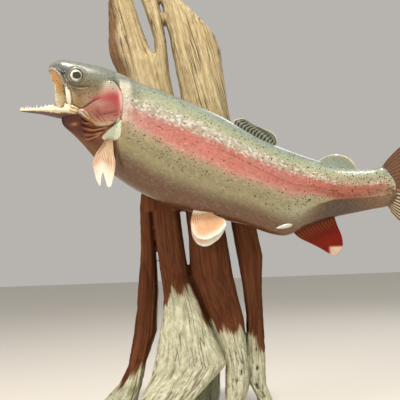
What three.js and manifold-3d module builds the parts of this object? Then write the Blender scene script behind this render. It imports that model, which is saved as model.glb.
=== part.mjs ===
// A life-size mounted rainbow trout: the fish, curved towards its head and tail, with its
// mouth wide open, and the upright driftwood stump that carries it on its own root feet.
// Millimetres, +Z up. The head points to -X, the left flank to -Y, and the wood stands at +Y.
// The origin is on the floor, under the middle of the whole.
import * as THREE from 'three';
import { mergeVertices } from 'three/addons/utils/BufferGeometryUtils.js';
import Module from 'manifold-3d';

const wasm = await Module();
wasm.setup();

// ---------------------------------------------------------------- driving dimensions
const SEAM = 0.35; // clear gap between two pieces that meet
const SEAM_STATION = 0.014; // the same gap, measured in steps between landmarks
const ROUNDNESS = 2.2; // exponent of the body's sections: 2 is an ellipse, more is boxier
const POINTS_ROUND = 24; // points round one section of the body
const RINGS_PER_STEP = 2; // sections between two landmarks

// Landmarks from the snout to the root of the tail fin. back and belly are (x, z) on the
// outline of the side view, y is where the middle plane lies, half is half the width.
const LANDMARKS = [
  { name: 'snout', back: [-202.5, 517], belly: [-202.5, 512], y: -50, half: 3 },
  { name: 'lip', back: [-197, 523.5], belly: [-197.5, 500], y: -48.8, half: 10 },
  { name: 'nostril', back: [-186.5, 527.6], belly: [-190, 480], y: -46.8, half: 16 },
  { name: 'mouth', back: [-175, 527], belly: [-187, 458], y: -45, half: 19.5 },
  { name: 'cheek', back: [-158, 523.5], belly: [-186, 438], y: -43, half: 23 },
  { name: 'nape', back: [-130, 517], belly: [-173, 424], y: -38, half: 27 },
  { name: 'gill', back: [-104, 507], belly: [-161, 411], y: -33, half: 29 },
  { name: 'shoulder', back: [-72, 492.5], belly: [-127.5, 373], y: -24, half: 32 },
  { name: 'chest', back: [-23, 473.7], belly: [-70.6, 334], y: -11.5, half: 35.5 },
  { name: 'middle', back: [33, 448], belly: [-9, 310.6], y: -2.5, half: 36 },
  { name: 'dorsal', back: [89, 414], belly: [56, 292.7], y: 1.5, half: 32 },
  { name: 'vent', back: [141, 390.4], belly: [114, 273.3], y: 0.5, half: 24.5 },
  { name: 'anal', back: [156, 384.3], belly: [130, 280], y: -1, half: 21.5 },
  { name: 'anal_end', back: [199, 367], belly: [187, 296], y: -10, half: 15.5 },
  { name: 'stem', back: [239, 361.8], belly: [236, 304.4], y: -21, half: 10 },
  { name: 'root', back: [257.6, 362.5], belly: [260.3, 308.7], y: -27.5, half: 7.5 },
  { name: 'end', back: [272, 342], belly: [272.7, 320], y: -31.5, half: 3.5 },
];
const LAST = LANDMARKS.length - 1;
const station = (name) => LANDMARKS.findIndex((mark) => mark.name === name);

const HEAD_TURN = 0.25; // sideways lean of the head's cuts: x moves by this for each mm of y
const FLANK_Y = -60; // the outlines of the head's side pieces are drawn on this plane

// Outlines of the side pieces of the head, (x, z) on the left flank.
const GILL_COVER = [
  [-160, 455], [-152, 457], [-147, 460], [-142, 464], [-134, 469], [-128, 478], [-124, 488],
  [-114, 493], [-107, 488], [-102, 477], [-100.5, 463], [-103, 443], [-110, 436],
  [-120, 431.5], [-135, 431.5], [-143, 437], [-151, 442], [-158, 447],
];
const UPPER_JAW = [
  [-190, 507], [-185, 499], [-182, 492], [-179.5, 484], [-180, 472], [-178, 463.5],
  [-173, 460.5], [-170, 464], [-170.5, 475], [-173, 485], [-177, 494], [-183, 504],
];
const THROAT_TOP = [
  [-200, 461], [-180, 455], [-165, 452], [-157, 447], [-150, 441.5], [-142, 436.5],
  [-135, 431], [-120, 431], [-90, 452],
];
const GILL_COVER_RAISE = 1.2;
const GILL_COVER_DEPTH = 3.5;
const UPPER_JAW_RAISE = 1.6;
const UPPER_JAW_DEPTH = 2;

// Eyes: glass domes of EYE_SIZE across on the head's side.
const EYE = { x: -162, z: 501.5 };
const EYE_SIZE = 17.4;
const EYE_BULGE = 4.4;
const EYE_INSET = 1.4;

// The hollow of the mouth, from in front of the lips back to the gullet.
const MOUTH_HOLLOW = [
  { x: -214, y: -53, z: 481, high: 22, half: 15 },
  { x: -190, y: -47, z: 481, high: 18, half: 14.5 },
  { x: -172, y: -42.5, z: 478, high: 15, half: 14 },
  { x: -152, y: -38, z: 473, high: 7, half: 8 },
];
// The lower jaw: a long scoop, from its tip back to its hinge under the cheeks.
const LOWER_JAW = [
  { x: -241, y: -59, top: 458, bottom: 454.5, half: 2 },
  { x: -236, y: -57.8, top: 458.5, bottom: 453.5, half: 5 },
  { x: -226, y: -55.5, top: 459.3, bottom: 451.5, half: 8.8 },
  { x: -210, y: -52, top: 461, bottom: 447.5, half: 13.5 },
  { x: -195, y: -48.5, top: 464, bottom: 443.5, half: 17.5 },
  { x: -180, y: -45, top: 462.5, bottom: 442, half: 21 },
  { x: -166, y: -41.7, top: 459, bottom: 446, half: 22.5 },
];
const JAW_WALL = 3; // thickness of the scoop's sides
const JAW_FLOOR = 5; // and of its floor
const TOOTH_HEIGHT = 2.6;
const TOOTH_RADIUS = 0.9;
const TEETH_PER_SIDE = 9;

const FIN_THICKNESS = 1.6;
// Fin outlines, (x, z). The root edges run a little inside the body, which trims them.
const FINS = {
  pectoral_fin_left: {
    outline: [
      [-125, 414], [-133, 402], [-139, 394], [-142, 386], [-144, 378], [-142, 370],
      [-139, 357], [-135, 349.5], [-133.5, 349], [-130, 366], [-124, 347], [-119, 347],
      [-115, 363], [-113, 380], [-115, 392], [-116, 414],
    ],
    lie: { x: -122, y: -54.5, z: 412, lean: 0.15, sweep: 0 },
    colour: 0xe9cfae,
  },
  pectoral_fin_right: {
    outline: [
      [-134, 418], [-120, 400], [-108, 384], [-96, 370], [-84, 360], [-74, 355],
      [-68, 358], [-70, 368], [-78, 380], [-92, 394], [-108, 408], [-122, 422],
    ],
    lie: { x: -124, y: 4.2, z: 413, lean: -0.14, sweep: 0.22 },
    colour: 0xe9cfae,
  },
  pelvic_fin_left: {
    outline: [
      [-9, 318], [-13, 304], [-14, 295], [-13, 286], [-10, 279], [-5, 274], [2, 272],
      [10, 272], [17, 275], [25, 279], [30, 284], [35, 290], [35, 295], [32, 300],
      [19, 307], [12, 318],
    ],
    lie: { x: 0, y: -14, z: 312, lean: 0.25, sweep: -0.05 },
    colour: 0xe6c4a0,
  },
  pelvic_fin_right: {
    outline: [
      [-9, 314], [-13, 298], [-14, 288], [-13, 279], [-10, 272], [-5, 266], [3, 263],
      [11, 264], [18, 268], [25, 273], [30, 279], [34, 286], [34, 292], [30, 298],
      [19, 305], [12, 314],
    ],
    lie: { x: 0, y: 8.5, z: 312, lean: -0.2, sweep: 0.05 },
    colour: 0xc79f80,
  },
  dorsal_fin: {
    outline: [
      [52, 432], [53, 441], [60, 443.5], [66, 444], [72, 441], [78, 437], [84, 432.5],
      [93, 429], [100, 426], [107, 422], [112, 416], [113, 408], [108, 398],
    ],
    colour: 0x5d6450,
  },
  adipose_fin: {
    outline: [
      [169, 372], [172, 379], [179, 383], [187, 385.5], [197, 385.5], [207, 382.5],
      [214, 378], [219, 371], [221, 362], [216, 356],
    ],
    colour: 0x8f9a88,
  },
  anal_fin: {
    outline: [
      [128, 284], [132, 276.5], [140, 269], [153, 262], [167, 254], [180, 245.5],
      [189, 242], [194, 248], [198, 257], [198, 265], [196, 274], [192, 285],
      [188, 300],
    ],
    colour: 0xa0412b,
  },
  caudal_fin: {
    outline: [
      [252, 352], [256, 364.5], [267, 378], [281, 390.5], [297, 402], [314, 411],
      [322, 412], [322, 404], [318, 388], [313, 368], [309, 350], [307, 335],
      [308, 318], [311, 300], [315, 280], [317, 262], [315, 255], [307, 255],
      [292, 268], [276, 285], [266, 297], [261, 307], [254, 320],
    ],
    colour: 0x9a6a45,
  },
};
const VENT_FLAP = { x: 117, y: -15.5, z: 286.5, long: 12, high: 4.2, thick: 3.2, tilt: 0.2 };

// Driftwood: upright strips. Each row is the strip's section at the height z: its left and
// right sides (x) and its front and back (y). The gaps between strips are the wood's splits.
const WOOD = {
  driftwood_top_left: [
    { z: 716, left: -124, right: -108, front: 58, back: 84 },
    { z: 690, left: -127, right: -101, front: 52, back: 90 },
    { z: 645, left: -130, right: -91, front: 50, back: 94 },
    { z: 604, left: -131, right: -79.5, front: 48, back: 97 },
    { z: 562, left: -131.5, right: -66.5, front: 45, back: 100 },
    { z: 555.1, left: -130, right: -64, front: 44, back: 100 },
    { z: 555, left: -130, right: -42.5, front: 44, back: 100 },
    { z: 532, left: -118, right: -40, front: 42, back: 101 },
    { z: 490, left: -110, right: -33, front: 40, back: 102 },
    { z: 455.4, left: -104, right: -27, front: 38, back: 103 },
  ],
  driftwood_top_middle: [
    { z: 704, left: -93, right: -72, front: 60, back: 82 },
    { z: 680, left: -88, right: -62, front: 56, back: 86 },
    { z: 641, left: -78, right: -50.5, front: 53, back: 90 },
    { z: 610, left: -69, right: -46, front: 50, back: 94 },
    { z: 580, left: -61, right: -42.5, front: 48, back: 97 },
    { z: 555.4, left: -56, right: -42, front: 46, back: 98 },
  ],
  driftwood_top_right: [
    { z: 688, left: -62, right: -50, front: 58, back: 80 },
    { z: 660, left: -54, right: -36, front: 54, back: 84 },
    { z: 632, left: -47, right: -9, front: 50, back: 89 },
    { z: 611, left: -44, right: 10, front: 48, back: 92 },
    { z: 585, left: -37, right: 32, front: 46, back: 96 },
    { z: 563, left: -34, right: 40, front: 44, back: 98 },
    { z: 516, left: -27, right: 44, front: 41, back: 101 },
    { z: 485, left: -23, right: 47, front: 39, back: 102 },
    { z: 455.4, left: -20, right: 50.5, front: 37, back: 104 },
  ],
  driftwood_core: [
    { z: 455, left: -104, right: 50.5, front: 35, back: 104 },
    { z: 400, left: -95.5, right: 62, front: 33, back: 105 },
    { z: 345, left: -88, right: 74, front: 34, back: 106 },
    { z: 325.4, left: -90, right: 77, front: 36, back: 106 },
  ],
  driftwood_left_leg: [
    { z: 325, left: -91, right: -73.5, front: 45, back: 102 },
    { z: 262, left: -91.5, right: -69, front: 49, back: 104 },
    { z: 200, left: -98, right: -68, front: 51, back: 106 },
    { z: 140, left: -105, right: -73, front: 49, back: 108 },
    { z: 92, left: -114, right: -91, front: 46, back: 104 },
    { z: 66, left: -128, right: -96, front: 42, back: 100 },
    { z: 40, left: -154, right: -104, front: 38, back: 98 },
    { z: 18, left: -174, right: -111, front: 32, back: 98 },
    { z: 0, left: -186, right: -118, front: 28, back: 100 },
  ],
  driftwood_centre_leg: [
    { z: 325, left: -73, right: -31, front: 37, back: 105 },
    { z: 280, left: -68.5, right: -27.5, front: 34, back: 104 },
    { z: 222, left: -63, right: -20.5, front: 29, back: 102 },
    { z: 190, left: -59, right: -8, front: 22, back: 99 },
    { z: 150, left: -64, right: 8, front: 13, back: 92 },
    { z: 93, left: -75, right: 29, front: 2, back: 78 },
    { z: 72, left: -82, right: 7, front: -6, back: 68 },
    { z: 45, left: -98, right: -21, front: -18, back: 54 },
    { z: 20, left: -113, right: -44, front: -28, back: 40 },
    { z: 0, left: -122, right: -60, front: -36, back: 32 },
  ],
  driftwood_middle_leg: [
    { z: 325, left: -23.5, right: 31, front: 37, back: 107 },
    { z: 280, left: -20, right: 37.5, front: 36, back: 107 },
    { z: 222, left: -19.5, right: 44.5, front: 33, back: 105 },
    { z: 190, left: -7, right: 51, front: 28, back: 102 },
    { z: 161, left: 5, right: 57.5, front: 24, back: 98 },
    { z: 93, left: 29.6, right: 60.5, front: 16, back: 90 },
    { z: 60, left: 27.5, right: 61, front: 10, back: 84 },
    { z: 38, left: 26.5, right: 52, front: 6, back: 80 },
    { z: 0, left: 24, right: 49, front: 0, back: 76 },
  ],
  driftwood_right_leg: [
    { z: 325, left: 41, right: 77, front: 42, back: 104 },
    { z: 284, left: 47.5, right: 84, front: 44, back: 104 },
    { z: 245, left: 53.5, right: 91, front: 46, back: 103 },
    { z: 205, left: 59, right: 87, front: 46, back: 102 },
    { z: 161, left: 63, right: 86.5, front: 43, back: 100 },
    { z: 93, left: 61, right: 87, front: 38, back: 98 },
    { z: 60, left: 63, right: 85, front: 34, back: 96 },
    { z: 38, left: 75, right: 94, front: 30, back: 94 },
    { z: 0, left: 78, right: 100, front: 26, back: 94 },
  ],
  driftwood_back_root: [
    { z: 215, left: -30, right: 12, front: 107, back: 114 },
    { z: 150, left: -38, right: 18, front: 108, back: 132 },
    { z: 90, left: -46, right: 22, front: 110, back: 152 },
    { z: 40, left: -52, right: 20, front: 118, back: 172 },
    { z: 0, left: -56, right: 14, front: 124, back: 186 },
  ],
};
const FLUTE_DEPTH = 2.4; // weathered furrows down the front of each strip
const FLUTES = 5;

const COLOURS = {
  back: 0x8f9a84,
  flank: 0xb9a68c,
  cheek: 0xa59a7c,
  gill: 0xcf7f6c,
  throat: 0x7a4a34,
  bone: 0xe4dcc0,
  tongue: 0xc08a70,
  glass: 0xdedccb,
  wood: 0xbfa57c,
};

// ---------------------------------------------------------------- solids and booleans
function toSolid(geometry) {
  const bare = new THREE.BufferGeometry();
  bare.setAttribute('position', geometry.getAttribute('position').clone());
  if (geometry.index) bare.setIndex(geometry.index.clone());
  const merged = mergeVertices(bare, 1e-4);
  const mesh = new wasm.Mesh({
    numProp: 3,
    vertProperties: new Float32Array(merged.getAttribute('position').array),
    triVerts: new Uint32Array(merged.index.array),
  });
  return new wasm.Manifold(mesh);
}

function toGeometry(solid) {
  const mesh = solid.getMesh();
  const geometry = new THREE.BufferGeometry();
  geometry.setAttribute('position', new THREE.BufferAttribute(new Float32Array(mesh.vertProperties), 3));
  geometry.setIndex(new THREE.BufferAttribute(new Uint32Array(mesh.triVerts), 1));
  geometry.computeVertexNormals();
  return geometry;
}

function signedVolume(points, faces) {
  let volume = 0;
  for (const [a, b, c] of faces) {
    volume += points[a].dot(new THREE.Vector3().crossVectors(points[b], points[c]));
  }
  return volume;
}

// A closed solid through a row of rings that all have the same number of points.
function loft(rings) {
  const round = rings[0].length;
  const points = rings.flat();
  const faces = [];
  for (let i = 0; i < rings.length - 1; i += 1) {
    for (let j = 0; j < round; j += 1) {
      const next = (j + 1) % round;
      const a = i * round + j;
      const b = i * round + next;
      faces.push([a, b, a + round], [b, b + round, a + round]);
    }
  }
  const capEnd = (first, flip) => {
    const middle = new THREE.Vector3();
    for (let j = 0; j < round; j += 1) middle.addScaledVector(points[first + j], 1 / round);
    points.push(middle);
    const centre = points.length - 1;
    for (let j = 0; j < round; j += 1) {
      const a = first + j;
      const b = first + ((j + 1) % round);
      faces.push(flip ? [centre, b, a] : [centre, a, b]);
    }
  };
  capEnd(0, true);
  capEnd((rings.length - 1) * round, false);
  if (signedVolume(points, faces) < 0) faces.forEach((face) => face.reverse());
  const geometry = new THREE.BufferGeometry();
  const flat = points.flatMap((point) => [point.x, point.y, point.z]);
  geometry.setAttribute('position', new THREE.Float32BufferAttribute(flat, 3));
  geometry.setIndex(faces.flat());
  return toSolid(geometry);
}

// Moves every edge of an outline outwards by the same distance.
function grow(outline, distance) {
  const points = outline.map(([x, z]) => new THREE.Vector2(x, z));
  const outward = THREE.ShapeUtils.isClockWise(points) ? 1 : -1;
  return points.map((point, i) => {
    const before = points.at(i - 1);
    const after = points[(i + 1) % points.length];
    const into = point.clone().sub(before).normalize();
    const out = after.clone().sub(point).normalize();
    const normal = new THREE.Vector2(-into.y - out.y, into.x + out.x).normalize();
    const stretch = Math.max(0.4, normal.dot(new THREE.Vector2(-into.y, into.x)));
    const moved = point.clone().addScaledVector(normal, (outward * distance) / stretch);
    return [moved.x, moved.y];
  });
}

// An upright slab: an outline in (x, z), extruded along Y from one y to another.
function slab(outline, yFrom, yTo) {
  const shape = new THREE.Shape(outline.map(([x, z]) => new THREE.Vector2(x, z)));
  const geometry = new THREE.ExtrudeGeometry(shape, { depth: yTo - yFrom, bevelEnabled: false });
  geometry.rotateX(Math.PI / 2);
  geometry.translate(0, yTo, 0);
  return geometry;
}

function bend(geometry, move) {
  const position = geometry.getAttribute('position');
  const point = new THREE.Vector3();
  for (let i = 0; i < position.count; i += 1) {
    move(point.fromBufferAttribute(position, i));
    position.setXYZ(i, point.x, point.y, point.z);
  }
  return geometry;
}

// A slab that runs square to the turned head instead of along Y.
function headSlab(outline, yFrom, yTo) {
  return toSolid(bend(slab(outline, yFrom, yTo), (point) => {
    point.x -= HEAD_TURN * (point.y - FLANK_Y);
  }));
}

// ---------------------------------------------------------------- the body's surface
const curveThrough = (points) => new THREE.CatmullRomCurve3(points, false, 'catmullrom', 0.5);
const BACK = curveThrough(LANDMARKS.map(({ back, y }) => new THREE.Vector3(back[0], y, back[1])));
const BELLY = curveThrough(LANDMARKS.map(({ belly, y }) => new THREE.Vector3(belly[0], y, belly[1])));
const WIDTH = curveThrough(LANDMARKS.map(({ half }, i) => new THREE.Vector3(i, half, 0)));

function middleAt(s) {
  return BACK.getPoint(s / LAST).add(BELLY.getPoint(s / LAST)).multiplyScalar(0.5);
}

// Level unit vector across the body, towards its right side.
function acrossAt(s) {
  const ahead = middleAt(Math.min(LAST, s + 0.3));
  const behind = middleAt(Math.max(0, s - 0.3));
  return new THREE.Vector3(behind.y - ahead.y, ahead.x - behind.x, 0).normalize();
}

const softPower = (value) => Math.sign(value) * Math.abs(value) ** (2 / ROUNDNESS);

// A point on the skin: s counts landmarks, angle 0 is the right side and PI the left,
// PI / 2 the back. extra moves it outwards.
function skinPoint(s, angle, extra = 0) {
  const upward = BACK.getPoint(s / LAST).sub(BELLY.getPoint(s / LAST));
  const high = upward.length() / 2 + extra;
  const half = WIDTH.getPoint(s / LAST).y + extra;
  return middleAt(s)
    .addScaledVector(upward.normalize(), high * softPower(Math.sin(angle)))
    .addScaledVector(acrossAt(s), half * softPower(Math.cos(angle)));
}

function bodyLength(from, to, extra = 0) {
  const steps = Math.max(1, Math.round((to - from) * RINGS_PER_STEP));
  const rings = [];
  for (let i = 0; i <= steps; i += 1) {
    const s = from + ((to - from) * i) / steps;
    const ring = [];
    for (let j = 0; j < POINTS_ROUND; j += 1) {
      ring.push(skinPoint(s, (2 * Math.PI * (j + 0.5)) / POINTS_ROUND, extra));
    }
    rings.push(ring);
  }
  return loft(rings);
}

// Where the skin's left flank passes through (x, z): the station and the angle there.
function flankPlace(x, z) {
  let best = { miss: Infinity };
  for (let s = 0; s <= LAST; s += 0.05) {
    for (let angle = Math.PI / 2; angle <= 1.5 * Math.PI; angle += 0.02) {
      const point = skinPoint(s, angle);
      const miss = Math.hypot(point.x - x, point.z - z);
      if (miss < best.miss) best = { miss, s, angle };
    }
  }
  return best;
}

// A plate of the given outline that lies in the skin, on one side of the head.
function skinPlate(outline, raise, depth, side) {
  const count = outline.length;
  const centre = outline.reduce(([x, z], point) => [x + point[0] / count, z + point[1] / count], [0, 0]);
  const middleY = middleAt(flankPlace(...centre).s).y;
  const reach = side === 'left' ? [-130, middleY - 2] : [middleY + 2, 60];
  const back = station('chest');
  const shell = bodyLength(0, back, raise).subtract(bodyLength(0, back, -depth));
  return shell.intersect(headSlab(outline, ...reach));
}

// ---------------------------------------------------------------- the head
function eyeBall(side, extra = 0) {
  const place = flankPlace(EYE.x, EYE.z);
  const angle = side === 'left' ? place.angle : Math.PI - place.angle;
  const centre = skinPoint(place.s, angle, -EYE_INSET);
  const outward = skinPoint(place.s, angle, 1).sub(skinPoint(place.s, angle, -1)).normalize();
  outward.z = 0;
  const ball = new THREE.SphereGeometry(1, 16, 10);
  ball.rotateX(Math.PI / 2);
  ball.scale(EYE_SIZE / 2 + extra, EYE_SIZE / 2 + extra, EYE_BULGE + extra);
  ball.applyQuaternion(new THREE.Quaternion().setFromUnitVectors(new THREE.Vector3(0, 0, 1), outward.normalize()));
  ball.translate(centre.x, centre.y, centre.z);
  return toSolid(ball);
}

// An oval section across the turned head; square makes its upper half nearly a box.
function roundRing({ x, y, z, high, half }, square = false) {
  const ring = [];
  for (let j = 0; j < 16; j += 1) {
    const angle = (2 * Math.PI * j) / 16;
    const power = square && Math.sin(angle) > 0 ? (value) => Math.sign(value) * Math.abs(value) ** 0.2 : softPower;
    const sideways = half * power(Math.cos(angle));
    ring.push(new THREE.Vector3(x - HEAD_TURN * sideways, y + sideways, z + high * power(Math.sin(angle))));
  }
  return ring;
}

const mouthHollow = () => loft(MOUTH_HOLLOW.map((row) => roundRing(row)));

// The jaw as a full boat shape; extra makes it larger all round.
function jawHull(extra = 0) {
  return loft(LOWER_JAW.map(({ x, y, top, bottom, half }, i) => roundRing({
    x: i === 0 ? x - extra : i === LOWER_JAW.length - 1 ? x + extra : x,
    y,
    z: (top + bottom) / 2,
    high: (top - bottom) / 2 + extra,
    half: half + extra,
  }, true)));
}

function jawScoop() {
  const rows = LOWER_JAW.slice(1).map(({ x, y, top, bottom, half }, i) => {
    const floor = bottom + Math.min(JAW_FLOOR, (top - bottom) * 0.5);
    const high = top + 6 - floor;
    const last = i === LOWER_JAW.length - 2;
    return { x: last ? x + 4 : x, y, z: floor + high, high, half: Math.max(1.5, half - JAW_WALL) };
  });
  return loft(rows.map((row) => roundRing(row, true)));
}

function jawTooth(along, side) {
  const place = along * (LOWER_JAW.length - 2.3) + 0.6;
  const low = Math.floor(place);
  const mix = place - low;
  const blend = (key) => THREE.MathUtils.lerp(LOWER_JAW[low][key], LOWER_JAW[low + 1][key], mix);
  const sideways = side * (blend('half') - JAW_WALL * 0.6);
  const tooth = new THREE.ConeGeometry(TOOTH_RADIUS, TOOTH_HEIGHT + 3, 5);
  tooth.rotateX(Math.PI / 2);
  tooth.translate(blend('x') - HEAD_TURN * sideways, blend('y') + sideways, blend('top') - 1.8 + TOOTH_HEIGHT / 2);
  return toSolid(tooth);
}

function lowerJaw() {
  let jaw = jawHull().subtract(jawScoop());
  for (let i = 0; i < TEETH_PER_SIDE; i += 1) {
    for (const side of [-1, 1]) jaw = jaw.add(jawTooth(i / TEETH_PER_SIDE, side));
  }
  return jaw;
}

function tongue(jaw) {
  const body = new THREE.SphereGeometry(1, 12, 8);
  body.rotateX(Math.PI / 2);
  body.scale(22, 7.5, 4);
  body.rotateZ(Math.atan(HEAD_TURN));
  body.translate(-196, -48.8, 453.5);
  return toSolid(body).subtract(jaw.translate(0, 0, SEAM));
}

// Slabs that cut the head: everything under the gill covers is the throat.
function throatSlab(drop) {
  const top = THROAT_TOP.map(([x, z]) => [x, z - drop]);
  return headSlab([...top, [-90, 380], [-200, 380]], -130, 60);
}

// ---------------------------------------------------------------- fins
// The fin's plate, laid in a plane that leans, or along the curve of the body's middle.
function finPlate({ outline, lie }) {
  const middleY = (x) => {
    let s = 0;
    while (s < LAST && middleAt(s).x < x) s += 0.1;
    const last = middleAt(LAST);
    return x > last.x ? last.y - 0.3 * (x - last.x) : middleAt(s).y;
  };
  return toSolid(bend(slab(outline, -FIN_THICKNESS / 2, FIN_THICKNESS / 2), (point) => {
    if (lie) point.y += lie.y + lie.lean * (point.z - lie.z) + lie.sweep * (point.x - lie.x);
    else point.y += middleY(point.x);
  }));
}

function ventFlap() {
  const { x, y, z, long, high, thick, tilt } = VENT_FLAP;
  const flap = new THREE.SphereGeometry(1, 10, 6);
  flap.scale(long, thick, high);
  flap.rotateY(-tilt);
  flap.translate(x, y, z);
  return toSolid(flap);
}

// ---------------------------------------------------------------- driftwood
// Section of a strip: cut corners, with furrows along the front.
function woodRing({ z, left, right, front, back }, row) {
  const width = right - left;
  const cut = Math.min(width, back - front) * 0.2;
  const ring = [];
  const put = (x, y) => ring.push(new THREE.Vector3(x, y, z));
  put(left, front + cut);
  for (let i = 0; i <= FLUTES; i += 1) {
    const across = i / FLUTES;
    const furrow = FLUTE_DEPTH * Math.min(1, width / 40) * (i % 2) * (0.6 + 0.4 * Math.sin(row * 2.1 + i));
    put(left + cut * 0.7 + (width - cut * 1.4) * across, front + furrow);
  }
  put(right, front + cut);
  put(right, back - cut);
  put(right - cut, back);
  put(left + cut, back);
  put(left, back - cut);
  return ring;
}

const woodStrip = (rows) => loft(rows.map(woodRing));

// ---------------------------------------------------------------- putting it together
const model = new THREE.Group();

function addNode(name, solid, colour, roughness = 0.35) {
  const material = new THREE.MeshStandardMaterial({ color: colour, roughness, metalness: 0 });
  const mesh = new THREE.Mesh(toGeometry(solid), material);
  mesh.name = name;
  model.add(mesh);
}

function buildFish() {
  const gill = station('gill');
  const waist = station('middle');
  const rear = station('anal');
  const sides = ['left', 'right'];
  const gillRoom = (side) => skinPlate(grow(GILL_COVER, SEAM), 8, GILL_COVER_DEPTH + SEAM, side);
  const jawRoom = (side) => skinPlate(grow(UPPER_JAW, SEAM), 8, UPPER_JAW_DEPTH + SEAM, side);
  const gillRooms = sides.map(gillRoom);

  const wholeHead = bodyLength(0, gill);
  let head = wholeHead.subtract(throatSlab(0)).subtract(mouthHollow()).subtract(jawHull(SEAM));
  for (const side of sides) head = head.subtract(eyeBall(side, SEAM)).subtract(jawRoom(side));
  let throat = wholeHead.intersect(throatSlab(SEAM)).subtract(jawHull(SEAM));
  let front = bodyLength(gill + SEAM_STATION, waist);
  for (const room of gillRooms) {
    head = head.subtract(room);
    throat = throat.subtract(room);
    front = front.subtract(room);
  }
  addNode('head', largestPiece(head), COLOURS.cheek);
  addNode('throat', largestPiece(throat), COLOURS.throat);
  const jaw = lowerJaw();
  addNode('lower_jaw', jaw, COLOURS.bone);
  addNode('tongue', largestPiece(tongue(jaw)), COLOURS.tongue);
  for (const side of sides) {
    addNode(`eye_${side}`, eyeBall(side), COLOURS.glass, 0.05);
    const plate = skinPlate(UPPER_JAW, UPPER_JAW_RAISE, UPPER_JAW_DEPTH, side);
    addNode(`upper_jaw_plate_${side}`, largestPiece(plate.subtract(mouthHollow()).subtract(jawHull(SEAM))), COLOURS.bone);
    const cover = skinPlate(GILL_COVER, GILL_COVER_RAISE, GILL_COVER_DEPTH, side);
    addNode(`gill_cover_${side}`, largestPiece(cover), COLOURS.gill);
  }
  addNode('trunk_front', largestPiece(front), COLOURS.flank);
  addNode('trunk_rear', bodyLength(waist + SEAM_STATION, rear).add(ventFlap()), COLOURS.flank);
  addNode('tail_stem', bodyLength(rear + SEAM_STATION * 2, LAST), COLOURS.back);
  const body = bodyLength(0, LAST, SEAM);
  for (const [name, fin] of Object.entries(FINS)) {
    addNode(name, largestPiece(finPlate(fin).subtract(body)), fin.colour);
  }
}

// Drops slivers that a cut leaves beside the piece itself.
function largestPiece(solid) {
  const pieces = solid.decompose();
  return pieces.reduce((best, piece) => (piece.volume() > best.volume() ? piece : best));
}

function buildDriftwood() {
  const seat = bodyLength(0, LAST, SEAM);
  for (const [name, rows] of Object.entries(WOOD)) {
    addNode(name, largestPiece(woodStrip(rows).subtract(seat)), COLOURS.wood, 0.85);
  }
}

buildFish();
buildDriftwood();

// The drawing's own zero is under the middle of the fish; the part's is under its own middle.
const box = new THREE.Box3().setFromObject(model);
const middle = box.getCenter(new THREE.Vector3());
for (const mesh of model.children) mesh.geometry.translate(-middle.x, -middle.y, -box.min.z);

export default model;
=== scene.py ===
"""Looks of a life-size mounted rainbow trout on an upright driftwood stump.

Shapes are worked out in the drawing frame of the part, in millimetres: +Z up, the head to -X
and the left flank to -Y. place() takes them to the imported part's frame, in metres.
"""
import math

import bpy
import numpy as np
from mathutils import Matrix, Vector
from mathutils.kdtree import KDTree


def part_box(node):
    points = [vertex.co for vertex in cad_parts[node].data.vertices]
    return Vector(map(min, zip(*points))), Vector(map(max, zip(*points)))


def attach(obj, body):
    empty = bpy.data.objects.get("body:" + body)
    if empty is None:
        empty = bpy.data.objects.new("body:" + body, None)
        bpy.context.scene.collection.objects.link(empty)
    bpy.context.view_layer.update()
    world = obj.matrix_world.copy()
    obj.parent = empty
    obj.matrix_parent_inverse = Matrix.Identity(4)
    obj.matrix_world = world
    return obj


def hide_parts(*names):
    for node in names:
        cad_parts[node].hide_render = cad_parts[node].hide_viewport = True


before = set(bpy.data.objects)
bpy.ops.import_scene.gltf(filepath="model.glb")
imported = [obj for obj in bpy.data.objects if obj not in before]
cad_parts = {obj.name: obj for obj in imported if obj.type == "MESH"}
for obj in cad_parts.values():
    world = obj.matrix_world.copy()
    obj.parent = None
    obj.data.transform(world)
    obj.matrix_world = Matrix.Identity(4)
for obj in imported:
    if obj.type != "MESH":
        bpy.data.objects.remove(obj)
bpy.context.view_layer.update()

RNG = np.random.default_rng(11)

# ---------------------------------------------------------------- frame
MM = 0.001
LEG_LEFT_X = -186.0  # the left leg's foot reaches this x in the drawing
BACK_ROOT_Y = 186.0  # and the back root this y
SHIFT = np.array([
    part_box("driftwood_left_leg")[0].x - LEG_LEFT_X * MM,
    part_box("driftwood_back_root")[1].y - BACK_ROOT_Y * MM,
    0.0,
])


def place(points):
    """Drawing millimetres to the part's own frame in metres."""
    return np.asarray(points, float) * MM + SHIFT


# ---------------------------------------------------------------- the body's landmarks
# back (x, z), belly (x, z), y of the middle plane, half width, from snout to tail root
LANDMARKS = np.array([
    [-202.5, 517, -202.5, 512, -50, 3],
    [-197, 523.5, -197.5, 500, -48.8, 10],
    [-186.5, 527.6, -190, 480, -46.8, 16],
    [-175, 527, -187, 458, -45, 19.5],
    [-158, 523.5, -186, 438, -43, 23],
    [-130, 517, -173, 424, -38, 27],
    [-104, 507, -161, 411, -33, 29],
    [-72, 492.5, -127.5, 373, -24, 32],
    [-23, 473.7, -70.6, 334, -11.5, 35.5],
    [33, 448, -9, 310.6, -2.5, 36],
    [89, 414, 56, 292.7, 1.5, 32],
    [141, 390.4, 114, 273.3, 0.5, 24.5],
    [170, 378.6, 151, 286, -3.8, 19.4],
    [199, 367, 187, 296, -10, 15.5],
    [239, 361.8, 236, 304.4, -21, 10],
    [257.6, 362.5, 260.3, 308.7, -27.5, 7.5],
    [272, 342, 272.7, 320, -31.5, 3.5],
], float)
LAST = len(LANDMARKS) - 1
ROUNDNESS = 2.2  # the power of the body's oval, which is 2 in an ellipse
HEAD_TURN = 0.25  # how far the head is turned: x against y
FLANK_Y = -60.0  # the drawing of the head's side shows x unchanged at this y
COAT = 0.5  # depth of the scales and varnish over the skin
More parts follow.
